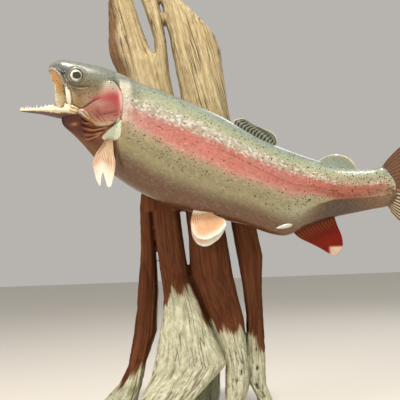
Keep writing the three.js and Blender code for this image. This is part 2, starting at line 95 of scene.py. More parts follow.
SKIN_COLUMNS, SKIN_AROUND = 560, 400
HEAD_END = 8.3  # station where the head's relief has faded out
NAPE = 6.8  # station where the head's bare skin ends

# outlines and lines on the head's side are (x, z) in side_view()
EYE = (-162.0, 501.5)
EYE_RADIUS = 8.7
EYE_BULGE = 4.4
EYE_INSET = 1.4

GILL_COVER = [
    (-160, 455), (-152, 457), (-147, 460), (-142, 464), (-134, 469), (-128, 478), (-124, 488),
    (-114, 493), (-107, 488), (-102, 477), (-100.5, 463), (-103, 443), (-110, 436),
    (-120, 431.5), (-135, 431.5), (-143, 437), (-151, 442), (-158, 447),
]
GILL_SLIT = [(-117, 492.5), (-112, 492), *GILL_COVER[8:]]  # along the cover's free edge
UPPER_JAW = [
    (-191, 508.6), (-187.5, 504.6), (-185, 499), (-183, 492.5), (-179.9, 486.5), (-178.6, 479),
    (-178, 471), (-176.2, 463), (-173.4, 459.6), (-170.8, 462.5), (-170.6, 471), (-172, 479),
    (-174.6, 486), (-178, 491.5), (-180.6, 498.5), (-184, 505.5),
]
LIP_CUT = [  # the mouth's opening on the left, from the snout down to the corner and round in front
    (-199.1, 507.8), (-197.7, 510.5), (-195.6, 511.4), (-192.9, 509.9), (-189.5, 506.4), (-186.5, 501.8),
    (-184.4, 495.5), (-181.8, 488.4), (-179.6, 484.2), (-178.4, 477.9), (-177.7, 472.4), (-176.7, 465.5),
    (-175.5, 460.6), (-178, 456), (-190, 454), (-206, 456), (-209, 480), (-205, 500),
]
LIP_RIDGE = [
    (-199, 513), (-196.6, 513.6), (-193.2, 511.5), (-189, 507.4), (-185.5, 502.3), (-183.3, 495.7),
    (-181, 489.4),
]
FAR_LOBE = [  # the far upper jaw, seen through the open mouth: x, z, half width
    (-201, 511, 1.6), (-198, 505, 2.8), (-194.2, 499, 4.3), (-191.4, 492, 6.0), (-189.8, 486, 6.8),
    (-188.8, 478, 7.4), (-187.8, 471, 7.4), (-187, 465, 6.0), (-186.5, 461, 2.6),
]
LOWER_LOBE = [  # the flap behind the mouth's corner
    (-161, 453), (-160.5, 447.5), (-157.5, 443.5), (-151, 441), (-145.5, 440), (-146, 445), (-150, 450),
    (-156, 454),
]
JAW_POCKET = {"at": (-186, -66, 460.4), "size": (7.4, 6.4, 5.2)}
THROAT_TOP = [
    (-200, 461), (-180, 455), (-165, 452), (-157, 447), (-150, 441.5), (-142, 436.5),
    (-135, 431), (-120, 431), (-90, 452),
]
CHEEK_CREASE = [
    (-170, 462), (-166, 459), (-158, 455.5), (-152, 457.5), (-145, 462), (-138, 466), (-131, 469),
]
LOWER_ARC = [(-137, 454), (-133, 449), (-129, 446.5), (-122, 447.5), (-114, 449), (-107, 450)]
COVER_LINES = [
    [(-139, 448), (-133, 441), (-128, 436)], [(-133, 450), (-128, 442), (-124, 436)],
    [(-148, 449), (-142, 442), (-136, 436)], [(-144, 452), (-138, 446), (-133, 440)],
]
EYE_FOLD = [(-177, 493), (-171, 488), (-162.5, 484.5), (-152, 484), (-143, 487)]
NOSTRILS = [(-182.2, 504.8, 1.2), (-178.8, 505.8, 0.9)]
THROAT_RAYS = [
    [(-160, 441), (-150, 436), (-137, 437.5), (-128, 433)],
    [(-161, 433), (-150, 429), (-139, 426.5), (-128, 428.5), (-117, 432)],
    [(-160, 425), (-150, 421.5), (-139, 420.5), (-126, 424)],
    [(-157, 417), (-148, 415), (-139, 417), (-130, 420)],
]
CHEST_WEDGE = [(-128, 416), (-122, 424), (-113, 432), (-104, 441), (-102, 424), (-107, 414), (-119, 412)]

MOUTH_HOLLOW = np.array([  # x, y, z, half height, half width
    [-214, -53, 486, 25, 15], [-200, -49.5, 487, 23, 14.8], [-189, -46.7, 484, 21, 14.5],
    [-176, -43.5, 479.5, 17, 14], [-164, -41, 477, 12, 12], [-152, -38, 473, 7, 8],
], float)
LOWER_JAW = np.array([  # x, y, top, bottom, half width
    [-241, -59, 457.2, 455.4, 1.8], [-236, -57.8, 457.4, 454.6, 4.6], [-227, -55.6, 457.8, 453.5, 8.2],
    [-213.5, -52.6, 458.8, 452, 12.6], [-199, -49.4, 462, 448.6, 16.6], [-189, -47, 464, 446.2, 18.8],
    [-177, -44.3, 462.2, 445.6, 21.0], [-165, -41.5, 457, 447.5, 21.4], [-156, -39.4, 453.5, 450, 19.0],
], float)
JAW_WALL = 2.6
JAW_FLOOR = 4.0
LOBE_DEPTH = -36.0  # y of the far upper jaw at the snout
THROAT_END = -112.0  # x where the throat gives way to the chest
PECTORAL_PIT = (-117, 408)  # the hollow behind the pectoral's root
VENT = (117, 286)
VENT_FLAP = {"at": (117, -15.5, 286.5), "size": (12, 3.2, 4.2), "tilt": 0.2}
TONGUE = {"at": (-194, -48.8, 456.4), "size": (22, 7.5, 2.6)}

# The pink stripe's edges: station, height on the flank (0 at half depth, 1 on the back)
STRIPE_TOP = [
    (6.4, .34), (7.5, .38), (8.2, .41), (9.3, .42), (10.2, .47), (11.2, .49), (11.9, .43), (12.65, .34),
    (13.4, .22), (14.2, .19), (16, .15),
]
STRIPE_FOOT = [
    (6.4, .06), (7.2, .02), (8.2, 0), (9.4, -.04), (10.3, .02), (11.2, .02), (12.0, -.05), (12.7, -.14),
    (13.4, -.36), (14.6, -.38), (16, -.38),
]
# station, height on the flank: the upper edge of the painted shade under the tail stem
PAINTED_SHADE_EDGE = [
    (10.8, -.95), (11.4, -.62), (11.8, -.48), (12.3, -.36), (13, -.25), (14, -.33), (15, -.42), (16, -.5),
]
LATERAL_LINE = [
    (6.5, .30), (7.6, .38), (8.6, .31), (9.7, .31), (10.2, .28), (11.55, .20), (12.4, .13), (13.1, .05),
    (14.5, 0), (16, 0),
]


# ---------------------------------------------------------------- small mathematics
def spline(values, s):
    """Catmull-Rom through evenly spaced rows of values, at the places s."""
    values = np.asarray(values, float)
    padded = np.vstack([2 * values[0] - values[1], values, 2 * values[-1] - values[-2]])
    s = np.clip(np.asarray(s, float), 0, len(values) - 1)
    i = np.minimum(s.astype(int), len(values) - 2)
    w = (s - i)[:, None]
    before, start, end, after = (padded[i + k] for k in range(4))
    leave, arrive = (end - before) / 2, (after - start) / 2
    return (
        (2 * start - 2 * end + leave + arrive) * w**3
        + (3 * end - 3 * start - 2 * leave - arrive) * w**2
        + leave * w
        + start
    )


def soft_power(value, power=2 / ROUNDNESS):
    return np.sign(value) * np.abs(value) ** power


def smooth(t):
    """0 below 0, 1 above 1, and an even slope between."""
    t = np.clip(t, 0, 1)
    return t * t * (3 - 2 * t)


def bell(distance, width):
    return np.exp(-((distance / width) ** 2))


def unit(v):
    return v / np.maximum(np.linalg.norm(v, axis=-1, keepdims=True), 1e-12)


GRADIENTS = unit(np.random.default_rng(3).normal(size=(256, 3)))


def noise(p, seed=0):
    """Smooth noise, about -1 to 1, at the rows of p, with one feature for each unit."""
    cell = np.floor(p).astype(np.int64)
    inner = p - cell
    fade = inner**3 * (inner * (inner * 6 - 15) + 10)
    total = np.zeros(len(p))
    for corner in np.ndindex(2, 2, 2):
        at = cell + corner
        mixed = (at[:, 0] * 73856093) ^ (at[:, 1] * 19349663) ^ (at[:, 2] * 83492791) ^ (seed * 7919)
        mixed = (mixed ^ (mixed >> 13)) * 12741261
        gradient = GRADIENTS[(mixed ^ (mixed >> 15)) & 255]
        weight = np.prod(np.where(corner, fade, 1 - fade), axis=1)
        total += weight * np.einsum("ij,ij->i", gradient, inner - corner)
    return total * 1.7


def noise_at(x, y, z, seed):
    return noise(np.column_stack([x, y, z]), seed)


def layers(p, count, seed=0, fall=0.5):
    """Noise in octaves."""
    total, size, weight = np.zeros(len(p)), 1.0, 1.0
    for k in range(count):
        total += weight * noise(p * size, seed + k)
        size *= 2.03
        weight *= fall
    return total


def circle(count):
    """Angles all the way round."""
    return 2 * math.pi * np.arange(count) / count


def distance_along(line):
    """How far along a line of points each of them is."""
    return np.concatenate([[0], np.cumsum(np.linalg.norm(np.diff(line, axis=0), axis=1))])


def even_points(line, count, endpoint=True):
    """Points at even distances along a line of points."""
    passed = distance_along(line)
    at = np.linspace(0, passed[-1], count, endpoint=endpoint)
    return np.stack([np.interp(at, passed, values) for values in line.T], axis=1)


def curve_through(points, closed=False, steps=8):
    """A smooth line of points through a few given ones."""
    points = np.asarray(points, float)
    if closed:
        loop = np.vstack([points[-2:], points, points[:3]])
        s = 2 + np.arange(len(points) * steps + 1) / steps
        return spline(loop, s)
    s = np.arange((len(points) - 1) * steps + 1) / steps
    return spline(points, s)


def line_distance(x, z, line):
    """Distance of each (x, z) from a line of points, and the share of the line passed there."""
    best, along = np.full(len(x), 1e9), np.zeros(len(x))
    line = np.asarray(line, float)
    passed = distance_along(line)
    for k, ((ax, az), (bx, bz)) in enumerate(zip(line[:-1], line[1:])):
        span = max((bx - ax) ** 2 + (bz - az) ** 2, 1e-9)
        t = np.clip(((x - ax) * (bx - ax) + (z - az) * (bz - az)) / span, 0, 1)
        away = np.hypot(x - ax - t * (bx - ax), z - az - t * (bz - az))
        nearer = away < best
        best = np.where(nearer, away, best)
        along = np.where(nearer, (passed[k] + t * (passed[k + 1] - passed[k])) / passed[-1], along)
    return best, along


def outline_distance(x, z, outline):
    """Distance from a closed outline, negative inside it."""
    line = curve_through(outline, closed=True, steps=5)
    away, _ = line_distance(x, z, line)
    inside = np.zeros(len(x), bool)
    for (ax, az), (bx, bz) in zip(line[:-1], line[1:]):
        crosses = (az > z) != (bz > z)
        at = ax + (z - az) * (bx - ax) / (bz - az if abs(bz - az) > 1e-9 else 1e-9)
        inside ^= crosses & (x < at)
    return np.where(inside, -away, away)


# ---------------------------------------------------------------- meshes
def grid_faces(rows, columns, around=True):
    """Quads of a grid of rows x columns points; around joins the last column to the first."""
    across = columns if around else columns - 1
    i, j = np.meshgrid(np.arange(rows - 1), np.arange(across), indexing="ij")
    a = i * columns + j
    b = i * columns + (j + 1) % columns
    return np.stack([a, b, b + columns, a + columns], axis=-1).reshape(-1, 4)


def halves(quads):
    """Two triangles for each quad."""
    return np.vstack([quads[:, :3], quads[:, [0, 2, 3]]])


def faces_inwards(points, triangles):
    """Whether a closed surface is turned inside out."""
    a, b, c = (points[triangles[:, n]] - points.mean(axis=0) for n in range(3))
    return np.einsum("ij,ij->i", a, np.cross(b, c)).sum() < 0


def set_smooth(mesh, on=True):
    mesh.polygons.foreach_set("use_smooth", np.full(len(mesh.polygons), on))


def make_mesh(name, points, quads=None, triangles=None, smooth_shade=True):
    """A mesh object of drawing-frame points."""
    mesh = bpy.data.meshes.new(name)
    quads = np.zeros((0, 4), int) if quads is None else np.asarray(quads)
    triangles = np.zeros((0, 3), int) if triangles is None else np.asarray(triangles)
    points = place(points)
    mesh.vertices.add(len(points))
    mesh.vertices.foreach_set("co", points.astype(np.float32).ravel())
    loops = np.concatenate([quads.ravel(), triangles.ravel()])
    mesh.loops.add(len(loops))
    mesh.loops.foreach_set("vertex_index", loops.astype(np.int32))
    sizes = np.concatenate([np.full(len(quads), 4), np.full(len(triangles), 3)])
    starts = np.concatenate([[0], np.cumsum(sizes)[:-1]]) if len(sizes) else sizes
    mesh.polygons.add(len(sizes))
    mesh.polygons.foreach_set("loop_start", starts.astype(np.int32))
    mesh.update(calc_edges=True)
    mesh.validate()
    set_smooth(mesh, smooth_shade)
    obj = bpy.data.objects.new(name, mesh)
    bpy.context.scene.collection.objects.link(obj)
    return obj


def loft_faces(rings):
    """Points, quads and end triangles of a closed loft, its faces turned outwards."""
    rows, columns = rings.shape[:2]
    points = np.vstack([rings.reshape(-1, 3), rings[[0, -1]].mean(axis=1)])
    first, last, foot = rows * columns, rows * columns + 1, (rows - 1) * columns
    j = np.arange(columns)
    k = (j + 1) % columns
    caps = np.concatenate([
        np.stack([np.full(columns, first), k, j], axis=1),
        np.stack([np.full(columns, last), foot + j, foot + k], axis=1),
    ])
    quads = grid_faces(rows, columns)
    if faces_inwards(points, np.vstack([caps, halves(quads)])):
        quads, caps = quads[:, ::-1], caps[:, ::-1]
    return points, quads, caps


def closed_loft(name, rings):
    """A closed mesh through rings, an array of rings x points x 3, capped by a fan at each end."""
    return make_mesh(name, *loft_faces(rings))


def ball(size, rings, turns, end=0.03):
    """An oval ball's points in rings along x; end is the share of its poles that stays open."""
    s, angle = np.meshgrid(np.linspace(end, 1 - end, rings) * math.pi, circle(turns), indexing="ij")
    return np.stack([-np.cos(s), np.sin(s) * np.cos(angle), np.sin(s) * np.sin(angle)], axis=-1) * size


def turned(points, first, second, angle):
    """Points turned in the plane of two of their axes."""
    a, b = points[..., first], points[..., second]
    moved = points.copy()
    moved[..., first] = a * math.cos(angle) - b * math.sin(angle)
    moved[..., second] = a * math.sin(angle) + b * math.cos(angle)
    return moved


def vertex_rows(obj, what):
    """The vertices' places ("co") or normals as rows of three."""
    flat = np.zeros(len(obj.data.vertices) * 3, np.float32)
    obj.data.vertices.foreach_get(what, flat)
    return flat.reshape(-1, 3).astype(float)


def coordinates(obj):
    """The object's vertices in drawing millimetres."""
    return (vertex_rows(obj, "co") - SHIFT) / MM


def set_coordinates(obj, points):
    obj.data.vertices.foreach_set("co", place(points).astype(np.float32).ravel())
    obj.data.update()


def set_value(obj, name, values, kind="FLOAT", field="value"):
    """A number, colour or vector on each vertex, which a material reads."""
    attribute = obj.data.attributes.new(name, kind, "POINT")
    attribute.data.foreach_set(field, np.asarray(values, np.float32).ravel())


def linear(colours):
    """Linear light for sRGB values from 0 to 1."""
    return np.where(colours <= 0.04045, colours / 12.92, ((colours + 0.055) / 1.055) ** 2.4)


def set_paint(obj, colours):
    """A colour on each vertex, given as sRGB from 0 to 1."""
    rgba = np.column_stack([linear(np.clip(colours, 0, 1)), np.ones(len(colours))])
    set_value(obj, "paint", rgba, "FLOAT_COLOR", "color")


def apply_modifiers(obj):
    bpy.context.view_layer.update()
    evaluated = obj.evaluated_get(bpy.context.evaluated_depsgraph_get())
    made = bpy.data.meshes.new_from_object(evaluated)
    old = obj.data
    obj.modifiers.clear()
    obj.data = made
    bpy.data.meshes.remove(old)


def carve(obj, tool, operation):
    """Joins the tool to obj or cuts it away, and drops the tool."""
    step = obj.modifiers.new("carve", "BOOLEAN")
    step.operation = operation
    step.solver = "MANIFOLD"
    step.object = tool
    apply_modifiers(obj)
    mesh = tool.data
    bpy.data.objects.remove(tool)
    bpy.data.meshes.remove(mesh)


def neighbour_mean(obj, points, weight, rounds):
    """Moves each point towards the mean of its neighbours by weight, several times."""
    edges = np.zeros(len(obj.data.edges) * 2, np.int32)
    obj.data.edges.foreach_get("vertices", edges)
    a, b = edges.reshape(-1, 2).T
    count = np.bincount(np.concatenate([a, b]), minlength=len(points)).clip(1)[:, None]
    for _ in range(rounds):
        total = np.zeros_like(points)
        for axis, values in enumerate(points.T):
            total[:, axis] = np.bincount(a, values[b], len(values)) + np.bincount(b, values[a], len(values))
        points = points + weight[:, None] * (total / count - points)
    return points


# ---------------------------------------------------------------- the skin's surface
def middle_at(s):
    rows = spline(LANDMARKS, s)
    return np.stack([(rows[:, 0] + rows[:, 2]) / 2, rows[:, 4], (rows[:, 1] + rows[:, 3]) / 2], axis=1)


def skin_points(s, angle, extra=0.0):
    """Points on the body: angle 0 is the right side, pi the left and pi / 2 the back."""
    rows = spline(LANDMARKS, s)
    ahead, behind = middle_at(np.minimum(s + 0.3, LAST)), middle_at(np.maximum(s - 0.3, 0))
    across = unit(np.stack([behind[:, 1] - ahead[:, 1], ahead[:, 0] - behind[:, 0], 0 * s], axis=1))
    upward = np.stack([rows[:, 0] - rows[:, 2], 0 * s, rows[:, 1] - rows[:, 3]], axis=1)
    high = np.linalg.norm(upward, axis=1) / 2 + extra
    half = rows[:, 5] + extra
    return (
        middle_at(s)
        + unit(upward) * (high * soft_power(np.sin(angle)))[:, None]
        + across * (half * soft_power(np.cos(angle)))[:, None]
    )


def side_view(points):
    """Where points appear on the drawing of the head's side."""
    return points[:, 0] + HEAD_TURN * (points[:, 1] - FLANK_Y), points[:, 2]


def throat_depth(x, z):
    """How far below the throat's upper edge a point is, in millimetres."""
    line = np.array(THROAT_TOP, float)
    return np.interp(x, line[:, 0], line[:, 1]) - z


def throat_share(x, z, rise):
    """1 on the throat, 0 above its upper edge and behind the gills."""
    return smooth(throat_depth(x, z) / rise) * (1 - smooth((x - THROAT_END) / 8))


def far_from(x, z, at):
    return np.hypot(x - at[0], z - at[1])


def cover_front(x, z):
    """1 near the gill cover's front, where it runs into the cheek with no edge."""
    return smooth((-114 - x) / 8) * smooth((z - 461) / 8)


def head_relief(x, z):
    """Height of the head's own forms over the plain body, in millimetres."""
    cover = outline_distance(x, z, GILL_COVER)
    slit, along = line_distance(x, z, curve_through(GILL_SLIT))
    relief = 1.1 * smooth(-cover / (1.3 + 9 * cover_front(x, z)) + 0.3)
    # the slit is cut outside the cover's edge, which stands up a little
    relief -= 2.0 * bell(slit - 1.1, 1.2) * (cover > 0) * smooth(along * 12)
    relief += 0.5 * bell(slit - 1.6, 1.2) * (cover < 0)
    for line, depth, width in ((CHEEK_CREASE, 1.5, 1.2), (LOWER_ARC, 0.8, 1.0), (EYE_FOLD, 0.7, 1.5)):
        away, share = line_distance(x, z, curve_through(line))
        relief -= depth * bell(away, width) * smooth(share * 6) * smooth((1 - share) * 5)
    # the cheek's muscle and the swell of the cover
    relief += 1.4 * bell(np.hypot(x + 157, (z - 470) * 0.9), 13)
    relief += 0.5 * bell(far_from(x, z, (-124, 458)), 9)
    throat = throat_share(x, z, 2.2)
    relief -= 3.0 * throat
    for line in THROAT_RAYS:
        away, share = line_distance(x, z, curve_through(line))
        edge = bell(away, 1.3) - 0.9 * bell(away - 2.4, 1.2)
        relief += 1.7 * edge * throat * smooth(share * 5 + 0.3) * smooth((1 - share) * 5 + 0.2)
    wedge = outline_distance(x, z, CHEST_WEDGE)
    relief += 1.0 * smooth(-wedge / 1.4 + 0.4) - 0.6 * bell(wedge - 1.2, 1.0) * (wedge > 0)
    relief -= 2.2 * bell(far_from(x, z, PECTORAL_PIT), 4.2)
    plate = outline_distance(x, z, UPPER_JAW)
    relief += 1.5 * smooth(-plate / 1.4 + 0.2) - 0.9 * bell(plate - 0.8, 0.9) * (plate > 0)
    ridge, _ = line_distance(x, z, curve_through(LIP_RIDGE))
    relief += 0.7 * bell(ridge, 1.3) - 0.5 * bell(ridge - 2.6, 1.1)
    lobe = outline_distance(x, z, LOWER_LOBE)
    relief += 1.9 * smooth(-lobe / 1.3 + 0.4)
    relief -= 0.5 * bell(lobe + 2.4, 0.8)
    for line in COVER_LINES:
        away, share = line_distance(x, z, curve_through(line))
        relief -= 0.5 * bell(away, 0.9) * smooth(share * 5) * smooth((1 - share) * 4)
    # the eye's socket and its rim, then the nostrils
    from_eye = far_from(x, z, EYE)
    relief -= 3.2 * smooth((EYE_RADIUS - 0.2 - from_eye) / 1.2)
    relief += 0.8 * bell(from_eye - EYE_RADIUS - 1.1, 1.0) - 0.5 * bell(from_eye - EYE_RADIUS - 3.6, 1.5)
    for *at, radius in NOSTRILS:
        from_hole = far_from(x, z, at)
        relief += 0.55 * bell(from_hole - radius - 0.5, 0.7) - 2.2 * smooth((radius - from_hole) / 0.6 + 0.3)
    return relief


def build_skin_grid():
    """Head, trunk and tail stem as one fine closed grid, with the head's forms raised on it."""
    fine = np.linspace(0, LAST, 3201)
    steps = np.linalg.norm(np.diff(middle_at(fine), axis=0), axis=1)
    steps = steps * np.interp(fine[1:], [0, 1.2, 7.2, 7.6, LAST], [2.5, 3.2, 3.2, 1, 1])
    passed = np.concatenate([[0], np.cumsum(steps)])
    columns = np.interp(np.linspace(0, passed[-1], SKIN_COLUMNS), passed, fine)
    s, angle = (a.ravel() for a in np.meshgrid(columns, circle(SKIN_AROUND), indexing="ij"))
    points = skin_points(s, angle, -COAT)
    normal = unit(skin_points(s, angle, 0.0) - skin_points(s, angle, -1.0))
    grid = points.reshape(SKIN_COLUMNS, SKIN_AROUND, 3)
    along = np.gradient(grid, axis=0)
    turn = np.roll(grid, -1, axis=1) - np.roll(grid, 1, axis=1)
    square = unit(np.cross(along, turn).reshape(-1, 3))
    square *= np.sign(np.einsum("ij,ij->i", square, normal))[:, None]
    on_head = s < HEAD_END
    x, z = side_view(points[on_head])
    off_middle = np.abs(np.cos(angle[on_head]))
    relief = np.zeros(len(points))
    relief[on_head] = head_relief(x, z) * smooth(off_middle * 4) * smooth((HEAD_END - s[on_head]) * 2)
    points = points + square * relief[:, None]
    return closed_loft("trout_skin", points.reshape(grid.shape)), s, angle


def round_ring(x, y, z, high, half, count, square=False):
    """An oval across the turned head; square makes its upper half nearly a box."""
    fine = circle(720)
    power = np.full(len(fine), 2 / ROUNDNESS)
    if square:
        power[np.sin(fine) > 0] = 0.2
    side = half * soft_power(np.cos(fine), power)
    ring = np.stack([x - HEAD_TURN * side, y + side, z + high * soft_power(np.sin(fine), power)], axis=1)
    return even_points(np.vstack([ring, ring[:1]]), count, endpoint=False)


def mouth_hollow():
    s = np.linspace(0, len(MOUTH_HOLLOW) - 1, 70)
    rows = spline(MOUTH_HOLLOW, s)
    rings = [round_ring(*row, 110) for row in rows]
    x, y, z, high, half = rows[-1]
    for shrink, step in ((0.8, 2.0), (0.45, 3.2)):
        rings.append(round_ring(x + step, y, z, high * shrink, half * shrink, 110))
    return closed_loft("mouth_hollow", np.array(rings))


def lip_cutter():
    """A thick slice from the left that opens the mouth's near side as far as the lip."""
    line = curve_through(LIP_CUT, closed=True, steps=6)[:-1]
    rings = []
    for y in np.linspace(-98, -50.5, 9):
        x = line[:, 0] - HEAD_TURN * (y - FLANK_Y)
        rings.append(np.stack([x, np.full(len(line), y), line[:, 1]], axis=1))
    return closed_loft("lip_cutter", np.array(rings))


def lobe_y(x, z):
    """How deep the far upper jaw lies."""
    return LOBE_DEPTH + 0.165 * (x + 202) - 3.2 * smooth((490 - z) / 22)


def far_lobe():
    """A flat blade inside the far cheek."""
    rows = curve_through(FAR_LOBE, steps=7)
    forward = unit(np.gradient(rows[:, :2], axis=0))
    phase = circle(28)
    wide = rows[:, None, 2] * np.cos(phase)
    x = rows[:, None, 0] - forward[:, None, 1] * wide
    z = rows[:, None, 1] + forward[:, None, 0] * wide
    y = lobe_y(x, z) + 1.7 * np.sin(phase) + 0.4 * np.sin(z / 2.3)
    return closed_loft("far_lobe", np.stack([x, y, z], axis=-1))


def jaw_pocket():
    return closed_loft("jaw_pocket", ball(JAW_POCKET["size"], 20, 32) + JAW_POCKET["at"])


def jaw_rows(s):
    return spline(LOWER_JAW, s)


def jaw_hull():
    rings = []
    for x, y, top, foot, half in jaw_rows(np.linspace(0, len(LOWER_JAW) - 1, 130)):
        rings.append(round_ring(x, y, (top + foot) / 2, (top - foot) / 2, half, 120, square=True))
    return closed_loft("jaw_hull", np.array(rings))


def jaw_scoop():
    """The inside of the jaw: a rounded trough, open at the top and shallow at the tip."""
    rings = []
    for x, y, top, foot, half in jaw_rows(np.linspace(0.75, len(LOWER_JAW) - 1, 110)):
        floor = foot + min(JAW_FLOOR, (top - foot) * 0.5)
        high = top + 7 - floor
        rings.append(round_ring(x, y, floor + high, high, max(1.2, half - JAW_WALL), 110))
    rings.append(rings[-1] + [5, 0, 0])
    return closed_loft("jaw_scoop", np.array(rings))


def vent_flap():
    flap = ball(VENT_FLAP["size"], 24, 36, end=0.02)
    flap[..., 2] *= 0.75 + 0.25 * np.clip(flap[..., 0] / VENT_FLAP["size"][0], -1, 1)
    return closed_loft("vent_flap", turned(flap, 0, 2, VENT_FLAP["tilt"]) + VENT_FLAP["at"])


# ---------------------------------------------------------------- the skin's markings
def rgb(code):
    return np.array([(code >> shift & 255) / 255 for shift in (16, 8, 0)])


def ramp(value, stops):
    """A colour for each value, between stops of (value, colour code)."""
    at = [stop[0] for stop in stops]
    colours = np.array([rgb(stop[1]) for stop in stops])
    return np.stack([np.interp(value, at, colours[:, k]) for k in range(3)], axis=1)


def blend(base, colour, amount):
    """The base run into a colour, given as a code or as a colour for each row."""
    colour = rgb(colour) if isinstance(colour, int) else colour
    return base + (colour - base) * np.clip(amount, 0, 1)[:, None]


def curve_value(s, stops):
    return np.interp(s, [a for a, _ in stops], [b for _, b in stops])


def flank_height(angle):
    """-1 on the belly, 0 at half depth, 1 on the back."""
    return soft_power(np.sin(angle))


def back_paint(s, above, points):
    """Painted glints over the stripe, then greener up the back; above: 0 at the stripe, 1 on the ridge."""
    paint = ramp(above, [
        (0, 0xE7D3BE), (.12, 0xE7D5B8), (.25, 0xDDD2B0), (.45, 0xCFD3A8), (.65, 0xBFCDAE),
        (.85, 0xAEBDAD), (1, 0xA1ADA3),
    ])
    # a pale band of painted glints just above the stripe, fading to the rear
    painted_glitter = bell(above - 0.27, 0.22) * np.interp(s, [6.6, 7.2, 9.8, 11], [0, 1, 0.9, 0.15])
    paint = blend(paint, 0xF6F3EA, 0.6 * painted_glitter * (0.7 + 0.5 * noise(points / 9.0, 7)))
    paint = blend(paint, 0xBE8E74, 0.6 * bell(above - 0.1, 0.35) * bell(s - 13.3, 0.9))
    return blend(paint, 0xD0967C, 0.35 * bell(above - 0.04, 0.16) * bell(s - 11.2, 0.9))


def belly_paint(below):
    """below: 0 at the stripe, 1 on the belly's keel. Browner and darker towards the keel: the belly's own
    fawn, deepened with painted shade.
    """
    return ramp(below, [
        (0, 0xD0B899), (.12, 0xBEB088), (.3, 0xAEA47B), (.42, 0xB4A97E), (.52, 0xA6966A),
        (.60, 0x927A54), (.70, 0x7C5024), (.85, 0x7A4618),
    ])


def stripe_paint(s, share):
    """The pink stripe, redder to the rear; share: 0 at its upper edge, 1 at its foot."""
    paint = ramp(s, [
        (6.4, 0xDFA397), (7.2, 0xE3968B), (8.3, 0xE38B7B), (9.5, 0xE4897A), (11, 0xE08474),
        (12.4, 0xCF6A56), (13.3, 0xBE5E48), (14.2, 0xB8654C), (15, 0xC08A6C), (16, 0xB88C68),
    ])
    return paint * (1.04 - 0.14 * smooth(share) * smooth((s - 9) / 4))[:, None]


def tail_paint(s, height, points, paint):
    """The brown, ragged end of the scales at the tail's root, pale along its top."""
    tail = smooth(s - 14.5)
    torn = noise_at(s * 0.9, points[:, 2] / 2.4, 0 * s, 9)
    paint = blend(paint, 0x84512F, tail * smooth((torn + 0.25 - 1.3 * height) / 0.5) * 0.6)
    return blend(paint, 0xEDE6CC, tail * smooth((height - 0.1) / 0.4) * (0.45 + 0.4 * torn))


def trunk_paint(s, angle, points):
    height = flank_height(angle)
    ragged = 0.03 * layers(points / 7.0, 3, 5, 0.7)
    top = curve_value(s, STRIPE_TOP) + ragged
    foot = curve_value(s, STRIPE_FOOT) + ragged
    below = (foot - height) / (1 + foot)
    back = back_paint(s, (height - top) / (1 - top), points)
    paint = np.where((below > 0)[:, None], belly_paint(below), back)
    inside = smooth((height - foot) / 0.26 + 0.5) * smooth((top - height) / 0.13 + 0.5)
    strength = np.interp(s, [6.4, 7.0, 8.0, 15, 16], [0.8, 0.95, 0.97, 0.8, 0.4])
    strength *= 1 + 0.12 * noise(points / 14.0, 6)
    paint = blend(paint, stripe_paint(s, (top - height) / (top - foot)), inside * strength)
    share = (height - foot) / (top - foot)
    paint = blend(paint, 0x943C24, 0.7 * bell(s - 13.1, 0.6) * smooth((0.55 - share) / 0.5) * inside)
    # the underside of the tail stem is painted dark brown up to a clear edge: painted shade, where the flank
    # turns under away from the top light
    edge = curve_value(s, PAINTED_SHADE_EDGE) + 0.4 * ragged + 0.03 * noise(points / 3.0, 8)
    shade_brown = smooth((edge - height) / 0.10) * smooth((s - 11.2) / 0.5) * (1 - 0.7 * smooth((s - 14.6) / 0.6))
    # the painted shade's colours, darkest under the middle of the tail stem
    under = ramp(s, [
        (11.5, 0x8A7048), (12.2, 0x6C4822), (12.7, 0x502C0A), (13.3, 0x522E0A), (13.9, 0x7C5026),
        (14.6, 0x94683E),
    ])
    paint = blend(paint, under, 0.93 * shade_brown)
    # a paler flank in front of the vent
    paint = blend(paint, 0xC9CBB4, 0.6 * (bell(s - 11.5, 0.7) * bell(height + 0.5, 0.3)))
    paint = tail_paint(s, height, points, paint)
    on_line = bell(height - curve_value(s, LATERAL_LINE), 0.016) * smooth(s - 8.6)
    paint = blend(paint, paint * [0.86, 0.72, 0.68], 0.75 * on_line)
    shoulder = bell(s - 7.0, 0.4) * smooth(1 - np.abs(height - 0.25) / 0.6)
    paint = blend(paint, 0xF0EADC, 0.5 * shoulder * (1 - 0.8 * inside))
    level = np.interp(height, [-1, -0.6, -0.4, 0.1, 0.45], [0.82, 0.84, 0.90, 0.89, 0.825])
    return paint * level[:, None]


class HeadCanvas:
    """Colours laid over each other on the drawing of the head's side."""

    def __init__(self, points, ground):
        self.x, self.z = side_view(points)
        self.paint = ground

    def lay(self, colour, amount):
        self.paint = blend(self.paint, colour, amount)

    def shade(self, share):
        self.paint = self.paint * (1 - share)[:, None]

    def spot(self, at_x, at_z, wide, tall, colour, strength):
        far = ((self.x - at_x) / wide) ** 2 + ((self.z - at_z) / tall) ** 2
        self.lay(colour, strength * np.exp(-far))

    def stroke(self, line, width, colour, strength):
        away, share = line_distance(self.x, self.z, curve_through(line))
        amount = strength * bell(away, width) * smooth(share * 8 + .3) * smooth((1 - share) * 8 + .3)
        self.lay(colour, amount)


